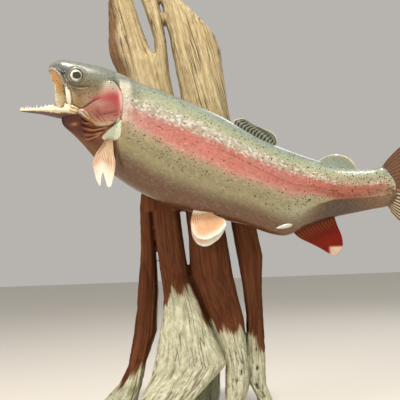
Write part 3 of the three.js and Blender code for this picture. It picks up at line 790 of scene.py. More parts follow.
def paint_face(head):
    """Snout and brow, the rim round the eye, then the cheek and the nape."""
    for spot in (
        (-192, 517, 10, 7, 0x8C9291, 0.85), (-181, 512, 9, 7, 0x4F5A60, 0.8),
        (-181, 504, 7, 7, 0x545A5C, 0.85), (-178, 496, 5, 8, 0x4E4F44, 0.8),
        (-170, 489, 9, 6, 0x574E38, 0.85), (-156, 486.5, 17, 5, 0x61502C, 0.85),
        (-156, 478, 17, 5.5, 0x74603A, 0.7), (-140, 482, 14, 7, 0x927C62, 0.7),
        (-166, 472, 5.5, 9, 0xC0A67C, 0.8), (-160, 469, 5, 6, 0x96794A, 0.7),
        (-149, 470, 11, 8, 0xB4987C, 0.85), (-142, 494, 14, 6, 0x78755A, 0.6),
        (-167, 484, 11, 6, 0x5C4824, 0.8), (-160, 474, 6, 6, 0x7E6238, 0.7),
        (-162, 461, 9, 3.2, 0xA57C3C, 0.85), (-126, 501, 22, 8, 0x7C8476, 0.7),
    ):
        head.spot(*spot)
    patchy = noise_at(head.x / 7.0, head.z / 5.0, 0 * head.x, 25)
    head.shade(0.16 * smooth((patchy - 0.05) / 0.5) * smooth((head.z - 478) / 10))


def paint_gill_cover(head):
    x, z = head.x, head.z
    soft = cover_front(x, z)
    on_cover = smooth(-outline_distance(x, z, GILL_COVER) / (3.0 + 12 * soft) + 0.4 + 0.25 * soft)
    front = ramp(z, [
        (430, 0xD8B494), (437, 0xC69C80), (446, 0xB97664), (456, 0xC27A6E), (470, 0xC88078),
        (480, 0xD8AC9E), (490, 0xCEC6B2),
    ])
    head.lay(front, 0.94 * on_cover)
    for spot in (
        (-113, 468.5, 14, 7, 0xBE3F48, 0.95), (-107, 459, 6, 10, 0xB4464A, 0.75),
        (-134, 469, 10, 3.2, 0xBE5450, 0.8), (-120, 458, 9, 5, 0xBC645E, 0.6),
        (-131, 460.5, 9, 4.2, 0xCB9C90, 0.85), (-103, 472, 2.5, 14, 0xEEB8AC, 0.75),
    ):
        head.spot(*spot)
    head.stroke(LOWER_ARC, 2.2, 0x9C3A32, 0.85)
    head.spot(-134, 446, 5, 5, 0xA64A36, 0.8)
    head.spot(-118, 442, 13, 3.4, 0xB87868, 0.6)
    # the cover's grooved lines are painted darker: painted shade in the grooves
    for line in COVER_LINES:
        head.stroke(line, 0.8, 0x7E4A2E, 0.55)
    # dark freckles on the cover's foot and on the cheek
    freckle = noise_at(x / 2.6, z / 2.6, 0 * x, 26)
    head.lay(0x6E2420, 0.6 * smooth((freckle - 0.55) / 0.2) * on_cover * smooth((478 - z) / 8))
    cheek = bell(z - 484, 15) * smooth((x + 177) / 6) * smooth((-130 - x) / 8) * (1 - on_cover)
    head.lay(0x4A3816, 0.75 * smooth((freckle - 0.16) / 0.25) * cheek)


def paint_creases(head):
    """The flap behind the mouth's corner, the creases of the cheek, darkened with painted shade, and the
    lip's pale ridge.
    """
    x, z = head.x, head.z
    pale = ramp(x, [(-161, 0xE6CCC4), (-155, 0xDCC4B0), (-150, 0xCDB87C), (-146, 0xC4A274)])
    head.lay(pale, 0.95 * smooth(-outline_distance(x, z, LOWER_LOBE) / 1.5 + 0.5))
    head.stroke([(-155.5, 452), (-152, 447), (-147.5, 443)], 0.7, 0x7A5C30, 0.8)
    # the cheek's crease and the fold under the eye are painted dark: painted shade in the grooves
    head.stroke(CHEEK_CREASE, 1.1, 0x5A2C14, 0.9)
    head.stroke(EYE_FOLD, 1.3, 0x4C3E20, 0.75)
    head.stroke([(-170, 477), (-171, 470), (-168, 463)], 1.0, 0x94703C, 0.5)
    ridge, _ = line_distance(x, z, curve_through(LIP_RIDGE))
    # painted shade in the groove beside the lip's ridge
    head.lay(0x3A3236, 0.75 * bell(ridge - 2.5, 1.1) * smooth((509 - z) / 4))
    head.lay(0xD6CAAA, 0.95 * bell(ridge, 1.0))


def paint_gill_slit(head):
    """The slit behind the cover, painted dark as shade in the groove, and the pale shoulder behind it."""
    x, z = head.x, head.z
    slit, along = line_distance(x, z, curve_through(GILL_SLIT))
    outside = outline_distance(x, z, GILL_COVER) > 0
    # painted shade in the slit
    head.lay(0x3C2A22, bell(slit - 0.9, 0.9) * outside * smooth(along * 9) * 0.9)
    behind = smooth((x + 104) / 3) * smooth((-84 - x) / 8) * smooth((z - 432) / 8)
    head.lay(0xF0EBDC, 0.8 * behind * smooth((500 - z) / 12))


def paint_throat(head):
    x, z = head.x, head.z
    throat = throat_share(x, z, 2.0)
    head.shade(0.11 * smooth((-104 - x) / 6))
    # the throat is painted very dark red-brown, lighter towards the chest: painted shade under the head; the
    # rays' ridges are painted lighter
    dark = ramp(x, [(-190, 0x420C02), (-165, 0x460F02), (-145, 0x541804), (-130, 0x743A18), (-120, 0x8E5838)])
    head.lay(dark, 0.97 * throat)
    head.lay(0x744A26, smooth((throat_depth(x, z) - 20) / 12) * throat)
    for line in THROAT_RAYS:
        away, share = line_distance(x, z, curve_through(line))
        edge = bell(away + 0.3, 1.2) * throat * smooth((1 - share) * 6) * smooth(share * 3)
        head.lay(ramp(x, [(-165, 0x9A5A30), (-145, 0xCC9668), (-125, 0xEFCAA8)]), 0.9 * edge)
    head.spot(-166, 436, 5, 2.5, 0xC08A40, 0.85)
    head.spot(-142, 436, 4.5, 4, 0xA8782C, 0.7)
    wedge = outline_distance(x, z, CHEST_WEDGE)
    head.lay(0xD3E0C8, 0.92 * smooth(-wedge / 2.0 + 0.5))
    head.lay(0xF2E8CC, 0.9 * bell(wedge + 0.3, 0.9) * smooth((424 - z) / 8))
    # painted shade in the hollow behind the pectoral's root
    head.spot(*PECTORAL_PIT, 4, 4, 0x6E5A34, 0.8)


def paint_small_parts(head):
    """The upper jaw's plate, the ring round the eye and the nostrils; the groove round the plate, the
    socket's edge and the nostrils' pits are painted dark as shade.
    """
    x, z = head.x, head.z
    plate = outline_distance(x, z, UPPER_JAW)
    head.lay(0x8A7C62, 0.8 * smooth(-plate / 1.2 + 0.4))
    head.lay(0xE2DAC4, 0.95 * smooth(-plate / 1.2 + 0.4) * smooth((486 - z) / 7))
    # painted shade in the groove round the plate's back edge
    head.lay(0x453A2C, 0.7 * bell(plate - 0.6, 0.8) * (plate > 0) * smooth((502 - z) / 8))
    from_eye = far_from(x, z, EYE)
    # a dark ring at the socket's edge: painted shade
    head.lay(0x4C4A40, 0.75 * bell(from_eye - EYE_RADIUS - 0.2, 1.1))
    head.lay(0xA7A896, 0.35 * bell(from_eye - EYE_RADIUS - 2.2, 1.0))
    # the nostrils' pits are painted near black: painted shade in the pits
    for *at, radius in NOSTRILS:
        head.lay(0x26241F, smooth((radius + 0.3 - far_from(x, z, at)) / 0.6))


def head_paint(angle, points):
    head = HeadCanvas(points, ramp(flank_height(angle), [
        (-1, 0xA8886A), (-.4, 0xB0916E), (-.1, 0xAE9070), (.2, 0x96805A), (.45, 0x7E7A5C),
        (.65, 0x747A6A), (.85, 0x808880), (1, 0x8C948E),
    ]))
    paint_face(head)
    paint_gill_cover(head)
    paint_creases(head)
    paint_gill_slit(head)
    paint_throat(head)
    paint_small_parts(head)
    return head.paint


def jaw_paint(points):
    """Colours of the lower jaw and of the mouth's lining, with painted shade on the jaw's underside and deep
    in its trough.
    """
    x, z = side_view(points)
    top = np.interp(points[:, 0], LOWER_JAW[:, 0], LOWER_JAW[:, 2])
    foot = np.interp(points[:, 0], LOWER_JAW[:, 0], LOWER_JAW[:, 3])
    share = (z - foot) / (top - foot) + 0.06 * noise(points / 4.0, 61)
    # cream on the jaw's side, very dark red-brown below it: painted shade on the jaw's underside
    paint = ramp(share, [
        (-.1, 0x340E06), (.10, 0x4A180C), (.20, 0x7A4A30), (.28, 0xE2D2A6), (.5, 0xF8F3D6), (1, 0xFBF7E2),
    ])
    above_lip = smooth((share - 0.36) / 0.1)
    trough = smooth((points[:, 1] + 62 + 0.22 * (points[:, 0] + 186)) / 2) * smooth((x + 200) / 6)
    # the trough's inside darkens towards its back and in the pocket: painted shade in the recess
    hole = ramp(x, [(-196, 0xB88A5C), (-190, 0xD9B48C), (-186, 0x9A6038), (-180, 0x5A2810)])
    paint = blend(paint, hole, trough * above_lip)
    rear = smooth((x + 176) / 5)
    strands = np.abs(np.sin((z + 0.5 * x) / 1.3 + 1.5 * noise(points / 6, 62)))
    cord = ramp(strands, [(0, 0x7A5228), (.5, 0xC8AA74), (1, 0xE8DAB6)])
    paint = blend(paint, cord, rear * smooth((z - 447) / 3))
    inner = smooth((14 - np.abs(points[:, 1] + 45 + 0.25 * (points[:, 0] + 180))) / 4)
    return blend(paint, 0xC98A68, 0.7 * inner * smooth((461 - z) / 3) * above_lip)


def lining_paint(points):
    """The mouth's inside: gold and speckled on the far upper jaw, cream at its lower end, and darker towards
    the back as painted shade deep in the mouth.
    """
    x, y, z = points.T
    # darker the further back into the mouth: painted shade
    paint = ramp(x, [(-192, 0xDCA45A), (-182, 0xC88A48), (-174, 0x8E5430), (-160, 0x54260F)])
    far_side = smooth((-178 - x) / 4) * smooth((y + 46) / 4)
    paint = blend(paint, 0xF2D69A, 0.75 * smooth((505 - z) / 12) * far_side)
    pale = smooth((486 - z) / 9) * far_side
    paint = blend(paint, 0xFFFBD0, pale * (0.95 + 0.1 * noise(points / 3.0, 22)))
    speck = smooth((noise(points / 1.8, 21) - 0.40) / 0.14) * smooth((z - 466) / 5)
    return blend(paint, 0x4A3010, 0.85 * speck * (1 - 0.7 * pale))


def spot_density(s, angle, points):
    """Share of the small black spots that show: none on the belly, most behind and above."""
    height = flank_height(angle)
    above = np.interp(s, [3, 6.5, 8, 10, 12, 14, 16], [.12, .14, .24, .42, .7, .85, .6])
    stripe = np.interp(s, [6, 8, 10, 12, 14, 16], [.12, .16, .14, .2, .5, .6])
    below = np.interp(s, [5, 6.6, 7.5, 9, 11, 12, 14, 16], [.1, .5, .5, .28, .34, .85, .95, .6])
    top, foot = curve_value(s, STRIPE_TOP), curve_value(s, STRIPE_FOOT)
    density = np.where(height > top, above, np.where(height < foot, below, stripe))
    belly = np.interp(s, [5, 8, 10, 12, 14, 16], [-.25, -.45, -.5, -.75, -.8, -.9])
    density *= smooth((height - belly) / 0.18)
    # no spots show in the painted shade under the tail stem
    density *= smooth((height - curve_value(s, PAINTED_SHADE_EDGE) + 0.02) / 0.08)
    density *= 1 - 0.7 * smooth((height - 0.88) / 0.1)
    density += 0.5 * smooth((s - 13) / 1.5) * bell(height - foot + 0.05, 0.22)
    x, z = side_view(points)
    on_head = s < NAPE
    throat = (throat_depth(x, z) > -1) & on_head & (x < THROAT_END + 2)
    return np.where(throat, 0, np.where(on_head, density * 0.6, density))


# ---------------------------------------------------------------- materials

class Nodes:
    """Short ways to add shader nodes and join them."""

    def __init__(self, tree):
        self.tree = tree

    def add(self, kind, **settings):
        node = self.tree.nodes.new(kind)
        for key, value in settings.items():
            setattr(node, key, value)
        return node

    def join(self, out, into):
        self.tree.links.new(out, into)

    def feed(self, socket, value):
        if isinstance(value, bpy.types.NodeSocket):
            self.join(value, socket)
        else:
            socket.default_value = value

    def attribute(self, name, what="Fac"):
        return self.add("ShaderNodeAttribute", attribute_name=name).outputs[what]

    def place(self):
        return self.add("ShaderNodeTexCoord").outputs["Object"]

    def maths(self, operation, *values, kind="ShaderNodeMath"):
        node = self.add(kind, operation=operation)
        for socket, value in zip(node.inputs, values):
            self.feed(socket, value)
        return node.outputs[0]

    def vector_maths(self, operation, *values):
        return self.maths(operation, *values, kind="ShaderNodeVectorMath")

    def between(self, value, low, high, to_low=0.0, to_high=1.0):
        """A smooth step from to_low to to_high while the value goes from low to high."""
        node = self.add("ShaderNodeMapRange", interpolation_type="SMOOTHSTEP")
        keys = ("Value", "From Min", "From Max", "To Min", "To Max")
        for key, item in zip(keys, (value, low, high, to_low, to_high)):
            self.feed(node.inputs[key], item)
        return node.outputs[0]

    def mix(self, amount, a, b, blend_type="MIX"):
        """Two colours, each a socket or a code, mixed."""
        node = self.add("ShaderNodeMix", data_type="RGBA", blend_type=blend_type)
        self.feed(node.inputs[0], amount)
        for socket, colour in ((node.inputs[6], a), (node.inputs[7], b)):
            self.feed(socket, colour4(colour) if isinstance(colour, int) else colour)
        return node.outputs[2]

    def tinted(self, colour, code):
        return self.mix(1.0, colour, code, "MULTIPLY")

    def texture(self, kind, scale, vector=None, **settings):
        node = self.add(kind, **settings)
        self.join(vector or self.place(), node.inputs["Vector"])
        node.inputs["Scale"].default_value = scale
        return node

    def noise(self, scale, detail=3.0, rough=0.5, vector=None, distortion=0.0):
        node = self.texture("ShaderNodeTexNoise", scale, vector)
        for key, value in (("Detail", detail), ("Roughness", rough), ("Distortion", distortion)):
            node.inputs[key].default_value = value
        return node.outputs["Fac"]

    def bump(self, height, distance, strength=1.0, under=None):
        node = self.add("ShaderNodeBump")
        node.inputs["Strength"].default_value = strength
        node.inputs["Distance"].default_value = distance
        self.join(height, node.inputs["Height"])
        if under is not None:
            self.join(under, node.inputs["Normal"])
        return node.outputs["Normal"]


def new_material(name):
    """A material, the helper that adds its nodes, and its shader."""
    material = bpy.data.materials.new(name)
    material.use_nodes = True
    tree = material.node_tree
    return material, Nodes(tree), tree.nodes["Principled BSDF"]


def colour4(code):
    return (*linear(rgb(code)), 1.0)


SPOT_SPACING = 385.0  # spots' cells for each metre
SPOT_WOBBLE = 0.0011  # how far a spot's edge strays, in metres
SPOT_REACH = (0.2, 0.46)  # least and greatest radius, in cells
SPOT_EDGE = 0.07


def fish_material(name, scaled):
    """Painted fish skin under varnish. The spots lie alike on the skin and on its scales."""
    material, n, shader = new_material(name)
    paint = n.attribute("paint", "Color")
    mottle = n.noise(260.0, 4.0, 0.6)
    colour = n.mix(n.between(mottle, 0.35, 0.7, 0.0, 0.14), paint, n.tinted(paint, 0xC4BEA8))
    wobble = n.texture("ShaderNodeTexNoise", 900.0).outputs["Color"]
    shifted = n.vector_maths("MULTIPLY_ADD", wobble, (SPOT_WOBBLE,) * 3, n.place())
    cells = n.texture("ShaderNodeTexVoronoi", SPOT_SPACING, shifted)
    chance = n.add("ShaderNodeSeparateColor")
    n.join(cells.outputs["Color"], chance.inputs[0])
    shown = n.maths("LESS_THAN", chance.outputs[0], n.attribute("spots"))
    radius = n.between(chance.outputs[1], 0.0, 1.0, *SPOT_REACH)
    inner = n.maths("SUBTRACT", radius, SPOT_EDGE)
    black = n.between(cells.outputs["Distance"], inner, radius, 0.92, 0.0)
    colour = n.mix(n.maths("MULTIPLY", black, shown), colour, 0x372404)
    if scaled:
        # painted glints: the scales picked for them are brightened towards white
        painted_glint = n.between(n.attribute("painted_glint"), 0.0, 1.0, 0.0, 0.75)
        colour = n.mix(painted_glint, colour, n.mix(0.7, colour, 0xFBFAF2))
        edge = n.maths("MULTIPLY", n.attribute("edge"), 0.12)
        colour = n.mix(edge, colour, n.tinted(colour, 0xA49C84))
    n.join(colour, shader.inputs["Base Color"])
    n.join(n.between(mottle, 0.3, 0.7, 0.30, 0.46), shader.inputs["Roughness"])
    n.join(n.attribute("pearl"), shader.inputs["Metallic"])
    n.join(n.attribute("gloss"), shader.inputs["Coat Weight"])
    shader.inputs["Coat Roughness"].default_value = 0.12
    shader.inputs["IOR"].default_value = 1.45
    pores = n.texture("ShaderNodeTexVoronoi", 700.0, feature="SMOOTH_F1")
    grain = n.bump(n.noise(1500.0, 2.0), 0.00012, 0.5)
    n.join(n.bump(pores.outputs["Distance"], 0.00018, 0.35, grain), shader.inputs["Normal"])
    return material


# ---------------------------------------------------------------- the fish's skin
HOLLOW_FOOT = 461.0  # the mouth's lining starts at this height
JAW_RIM = 466.0  # and the lower jaw's colours end at this one


def body_paint(s, angle, points):
    """The head's colours and the trunk's, run into each other behind the gill cover."""
    x, z = side_view(points)
    border = smooth((s - 6.3) / 0.9)
    border = np.where(outline_distance(x, z, GILL_COVER) < 2.5, 0, border)
    border = np.where(outline_distance(x, z, CHEST_WEDGE) < 1.5, 0, border)
    return blend(head_paint(angle, points), trunk_paint(s, angle, points), border)


def build_skin():
    skin, s, angle = build_skin_grid()
    tree = KDTree(len(s))
    for i, point in enumerate(coordinates(skin)[:len(s)]):
        tree.insert(point, i)
    tree.balance()
    jaw = jaw_hull()
    carve(jaw, jaw_scoop(), "DIFFERENCE")
    carve(jaw, jaw_pocket(), "DIFFERENCE")
    for tool, operation in (
        (mouth_hollow(), "DIFFERENCE"), (lip_cutter(), "DIFFERENCE"), (far_lobe(), "UNION"),
        (jaw, "UNION"), (vent_flap(), "UNION"),
    ):
        carve(skin, tool, operation)
    # each point's nearest one of the plain grid tells its station and angle
    points = coordinates(skin)
    nearest = np.zeros(len(points), int)
    away = np.zeros(len(points))
    for i, point in enumerate(points):
        _, nearest[i], away[i] = tree.find(point)
    s, angle = s[nearest], angle[nearest]
    off_skin = smooth((away - 0.5) / 0.5)
    near_head = (points[:, 0] < -140) & (points[:, 2] > 430)
    normal = vertex_rows(skin, "normal")
    middle = np.interp(points[:, 0], [-202, -158, -104], [-50, -43, -33])
    inside = (normal[:, 1] < -0.15) & (points[:, 1] > middle + 3) & (points[:, 2] > HOLLOW_FOOT)
    off_skin = np.maximum(off_skin, inside * near_head)
    # the sharp rims of the mouth are rounded
    rim = neighbour_mean(skin, off_skin[:, None], np.full(len(points), 0.7), 4)[:, 0]
    rim = np.clip(4 * rim * (1 - rim), 0, 1) * near_head
    points = neighbour_mean(skin, points, 0.6 * smooth(rim * 1.5), 10)
    set_coordinates(skin, points)
    paint_skin(skin, s, angle, points, normal, off_skin, near_head)
    skin.data.materials.clear()
    skin.data.materials.append(fish_material("trout skin", False))
    set_smooth(skin.data)
    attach(skin, "root")
    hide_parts("head", "throat", "lower_jaw", "upper_jaw_plate_left", "upper_jaw_plate_right")
    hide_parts("gill_cover_left", "gill_cover_right", "trunk_front", "trunk_rear", "tail_stem")


def paint_skin(skin, s, angle, points, normal, off_skin, near_head):
    x, z = side_view(points)
    jaw_zone = off_skin * (points[:, 2] < JAW_RIM) * near_head
    hollow_zone = off_skin * (points[:, 2] >= HOLLOW_FOOT) * near_head
    paint = blend(body_paint(s, angle, points), jaw_paint(points), jaw_zone)
    paint = blend(paint, lining_paint(points), hollow_zone)
    # the vent's flap is painted pale: a painted highlight on its bulge
    flap = off_skin * (points[:, 0] > 90) * (points[:, 0] < 140) * (points[:, 2] < 300)
    set_paint(skin, blend(paint, 0xD6D8C4, flap))
    set_value(skin, "spots", spot_density(s, angle, points) * (1 - off_skin))
    set_value(skin, "pearl", np.zeros(len(points)))
    dull = smooth((throat_depth(x, z) + 1) / 2) * (x < THROAT_END) * (s < NAPE)
    under_jaw = jaw_zone * (normal[:, 2] < -0.3)
    gloss = 0.9 - 0.82 * np.maximum(dull * (1 - jaw_zone), under_jaw)
    brow = smooth((x + 183) / 8) * smooth((z - 505) / 6) * (s < 6.2)
    set_value(skin, "gloss", gloss * (1 - 0.7 * brow))


# ---------------------------------------------------------------- scales
SCALE_ROWS = 58  # rows of scales on each flank, from back to belly
SCALES_FROM, SCALES_HALFWAY, SCALES_TO = 6.15, 9.4, 15.75
SCALE_REACH, SCALE_WIDTH, SCALE_LIFT = 1.55, 0.62, 0.62  # in shares of the pitch
SCALE_SHAPE = np.array([  # along the body, around it, out of it, in shares of a scale
    [-.80, 0, -.32], [-.10, -1, -.03], [-.10, 1, -.03],
    [.38, -.86, .11], [.76, -.48, .15], [.90, 0, .165], [.76, .48, .15], [.38, .86, .11],
    [.22, 0, .13],
    [.36, -.84, -.2], [.72, -.46, -.2], [.85, 0, -.2], [.72, .46, -.2], [.36, .84, -.2],
])
SCALE_FACES = np.array([
    [8, 0, 2], [8, 2, 7], [8, 7, 6], [8, 6, 5], [8, 5, 4], [8, 4, 3], [8, 3, 1], [8, 1, 0],
    [3, 4, 10], [3, 10, 9], [4, 5, 11], [4, 11, 10], [5, 6, 12], [5, 12, 11], [6, 7, 13], [6, 13, 12],
    [0, 1, 9], [0, 9, 10], [0, 10, 11], [0, 11, 12], [0, 12, 13], [0, 13, 2], [1, 3, 9], [7, 2, 13],
])
SCALE_REAR = np.array([0, 0, 0, 1, 1, 1, 1, 1, 0, 1, 1, 1, 1, 1], float)


def behind_gills(x, z):
    """Distance behind the coat's front edge, which slopes forward over the nape."""
    return x + 103 + 0.9 * np.clip(z - 488, 0, None)


def scale_places(side):
    """Station, angle, row share, both pitches and length share of every scale on one flank."""
    turn = np.linspace(0, math.pi, 241)
    angles = math.pi / 2 + turn if side == "left" else math.pi / 2 - turn
    s, length, found = SCALES_FROM, 0.0, []
    while s < SCALES_TO:
        passed = distance_along(skin_points(np.full(len(angles), s), angles, -COAT))
        row_pitch = passed[-1] / SCALE_ROWS
        pitch = float(np.clip(row_pitch * 1.12, 1.9, 3.3))
        share = (np.arange(SCALE_ROWS) + 0.25 + 0.5 * (len(found) % 2)) / SCALE_ROWS
        angle = np.interp(share * passed[-1], passed, angles)
        found.append(np.column_stack(np.broadcast_arrays(s, angle, share, pitch, row_pitch, length)))
        step = np.linalg.norm(middle_at(np.array([s + 0.05])) - middle_at(np.array([s - 0.05]))) * 10
        s += pitch / step
        length += pitch
    rows = np.vstack(found)
    rows[:, 5] /= length
    points = skin_points(rows[:, 0], rows[:, 1], -COAT)
    x, z = side_view(points)
    keep = outline_distance(x, z, GILL_COVER) > 3.2
    keep &= outline_distance(x, z, CHEST_WEDGE) > 1.0
    keep &= ~((throat_depth(x, z) > -1.5) & (x < THROAT_END))
    keep &= behind_gills(x, z) > 0
    keep &= far_from(x, z, PECTORAL_PIT) > 5.5
    keep &= far_from(points[:, 0], points[:, 2], VENT) > 9
    ragged = rows[:, 0] < SCALES_TO - 0.5 * np.abs(noise(points / 4.0, 31))
    return rows[keep & ragged]


def coat_steps(s, angle):
    """Short steps rearwards and round the body, under the coat."""
    rear = skin_points(s + 0.02, angle, -COAT) - skin_points(s - 0.02, angle, -COAT)
    turn = skin_points(s, angle + 0.01, -COAT) - skin_points(s, angle - 0.01, -COAT)
    return rear, turn


def scale_plates(s, angle, pitch, row_pitch, ragged):
    """The corners of each scale's plate and the place of its root."""
    count = len(s)
    root = skin_points(s, angle, -COAT)
    outward = unit(skin_points(s, angle, 0.5) - skin_points(s, angle, -0.5))
    rear, turn = coat_steps(s, angle)
    normal = unit(np.cross(rear, turn))
    normal *= np.sign(np.einsum("ij,ij->i", normal, outward))[:, None]
    rear = unit(rear - normal * np.einsum("ij,ij->i", rear, normal)[:, None])
    turn = np.cross(normal, rear)
    jitter = RNG.normal(size=(count, 4))
    tilted = unit(normal + 0.06 * jitter[:, 0:1] * turn + 0.05 * jitter[:, 1:2] * rear)
    size = 1 + 0.05 * jitter[:, 2]
    lift = np.clip(1 + 0.25 * jitter[:, 3], 0.5, 1.6)
    lift *= np.interp(flank_height(angle), [-0.8, -0.45, -0.05], [0.35, 0.5, 0.8])
    # the scales shrink towards the head, and stand up raggedly at the tail's root
    x, z = side_view(root)
    grown = smooth((behind_gills(x, z) + 1) / 9)
    grown = np.minimum(grown, smooth((outline_distance(x, z, GILL_COVER) - 2) / 5))
    lift *= 0.25 + 0.75 * grown
    lift *= np.interp(s, [6, 9, 12.5, 14.5], [0.4, 0.5, 0.7, 1.0])
    lift *= 1 + 2.0 * ragged * RNG.random(count)
    high = SCALE_LIFT * pitch * lift
    reach = SCALE_REACH * pitch * size * (0.8 + 0.2 * grown) * (1 + 0.9 * ragged * RNG.random(count))
    wide = SCALE_WIDTH * row_pitch * size
    along, across, out = SCALE_SHAPE.T
    points = (
        root[:, None]
        + along[:, None] * (rear * reach[:, None])[:, None]
        + across[:, None] * (turn * wide[:, None])[:, None]
        + out[:, None] * (tilted * high[:, None])[:, None]
    )
    # the skin's own curve carries the scale's far edges down with it
    half = np.maximum(spline(LANDMARKS, s)[:, 5], 4.0)
    sag = (across * wide[:, None]) ** 2 / (2.6 * half[:, None])
    return points - normal[:, None] * sag[..., None], root


def paint_scales(obj, s, angle, root, ragged):
    """The skin's paint, the same over a whole scale, with painted glints: random scales painted near white,
    most above the stripe.
    """
    count = len(s)
    corners = np.repeat(np.arange(count), len(SCALE_SHAPE))
    shade = 1 + (0.035 + 0.2 * ragged) * RNG.normal(size=count)
    paint = np.clip(body_paint(s, angle, root) * shade[:, None], 0, 1)
    band = bell(flank_height(angle) - curve_value(s, STRIPE_TOP) - 0.1, 0.13)
    band *= np.interp(s, [6.5, 7.5, 11, 14], [1, 1, 0.8, 0.3])
    # painted glints: random scales, most in the band over the stripe, are made near white
    painted_glint = RNG.random(count) ** 2.5 * (0.2 + 1.5 * band)
    paint = blend(paint, 0xFFFEF6, 0.4 * smooth((painted_glint - 0.75) / 0.35))
    set_paint(obj, paint[corners])
    set_value(obj, "spots", spot_density(s, angle, root)[corners])
    set_value(obj, "painted_glint", np.clip(painted_glint, 0, 1)[corners])
    set_value(obj, "pearl", (0.10 + 0.25 * band)[corners])
    set_value(obj, "gloss", np.full(len(corners), 0.9))
    set_value(obj, "edge", np.tile(SCALE_REAR, count))


def lay_out_scales(obj, along, share):
    """The bake's map: each scale at its own place on the unrolled flank."""
    corners = len(SCALE_SHAPE)
    uv = 0.02 + 0.96 * np.repeat(np.column_stack([along, share]), corners, axis=0)
    uv += 0.0015 * np.tile(SCALE_SHAPE[:, :2], (len(along), 1))
    loops = np.zeros(len(obj.data.loops), np.int32)
    obj.data.loops.foreach_get("vertex_index", loops)
    layer = obj.data.uv_layers.new(name="OFBake")
    layer.data.foreach_set("uv", uv[loops].astype(np.float32).ravel())


def build_scales(name, side, first, last, material):
    """One length of the coat: a closed, slightly lifted plate for each scale."""
    rows = scale_places(side)
    rows = rows[(rows[:, 0] >= first) & (rows[:, 0] < last)]
    s, angle, share, pitch, row_pitch, along = rows.T
    count = len(rows)
    wander = 0.05 * smooth((14.6 - s) / 1.5)[:, None] * RNG.uniform(-1, 1, (count, 2))
    rear, turn = coat_steps(s, angle)
    s = s + 0.04 * wander[:, 0] * pitch / np.linalg.norm(rear, axis=1)
    angle = angle + 0.02 * wander[:, 1] * row_pitch / np.linalg.norm(turn, axis=1)
    ragged = smooth((s - 14.7) / 0.7)
    points, root = scale_plates(s, angle, pitch, row_pitch, ragged)
    faces = (np.arange(count)[:, None, None] * len(SCALE_SHAPE) + SCALE_FACES).reshape(-1, 3)
    if faces_inwards(points[0], SCALE_FACES):
        faces = faces[:, ::-1]
    obj = make_mesh(name, points.reshape(-1, 3), triangles=faces, smooth_shade=False)
    paint_scales(obj, s, angle, root, ragged)
    lay_out_scales(obj, along, share)
    obj.data.materials.append(material)
    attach(obj, "root")


def build_coat():
    material = fish_material("trout scales", True)
    for side in ("left", "right"):
        build_scales(f"scales_{side}_front", side, SCALES_FROM, SCALES_HALFWAY, material)
        build_scales(f"scales_{side}_rear", side, SCALES_HALFWAY, SCALES_TO, material)


# ---------------------------------------------------------------- eyes, teeth and tongue
def flank_place(x, z):
    """Station and angle where the left flank passes through (x, z)."""
    s, angle = (a.ravel() for a in np.meshgrid(np.linspace(0, 8, 401), np.linspace(0.5, 1.5, 301) * math.pi))
    points = skin_points(s, angle)
    best = np.argmin(np.hypot(points[:, 0] - x, points[:, 2] - z))
    return s[best:best + 1], angle[best:best + 1]


def eye_material():
    material, n, shader = new_material("glass eye")
    r = n.attribute("from_pupil")
    turn = n.attribute("turn")
    streaks = n.add("ShaderNodeCombineXYZ")
    n.join(n.maths("MULTIPLY", turn, 9.0), streaks.inputs[0])
    n.join(n.maths("MULTIPLY", r, 1.5), streaks.inputs[1])
    fibres = n.noise(3.0, 4.0, 0.6, streaks.outputs[0])
    iris = n.mix(n.between(fibres, 0.3, 0.7), 0xC4C4B4, 0xFCFBF2)
    iris = n.mix(n.between(r, 0.84, 1.0), iris, 0x9A9780)
    pupil = n.mix(n.between(fibres, 0.35, 0.65), 0x24261F, 0x3E4236)
    colour = n.mix(n.between(r, 0.60, 0.64), pupil, 0xB9A468)
    colour = n.mix(n.between(r, 0.64, 0.69), colour, iris)
    colour = n.mix(n.between(r, 0.95, 0.99), colour, 0x2A261C)
    n.join(colour, shader.inputs["Base Color"])
    n.join(n.between(r, 0.62, 0.68, 0.0, 0.35), shader.inputs["Metallic"])
    n.join(n.between(r, 0.6, 0.7, 0.10, 0.30), shader.inputs["Roughness"])
    shader.inputs["Coat Weight"].default_value = 1.0
    shader.inputs["Coat Roughness"].default_value = 0.02
    return material


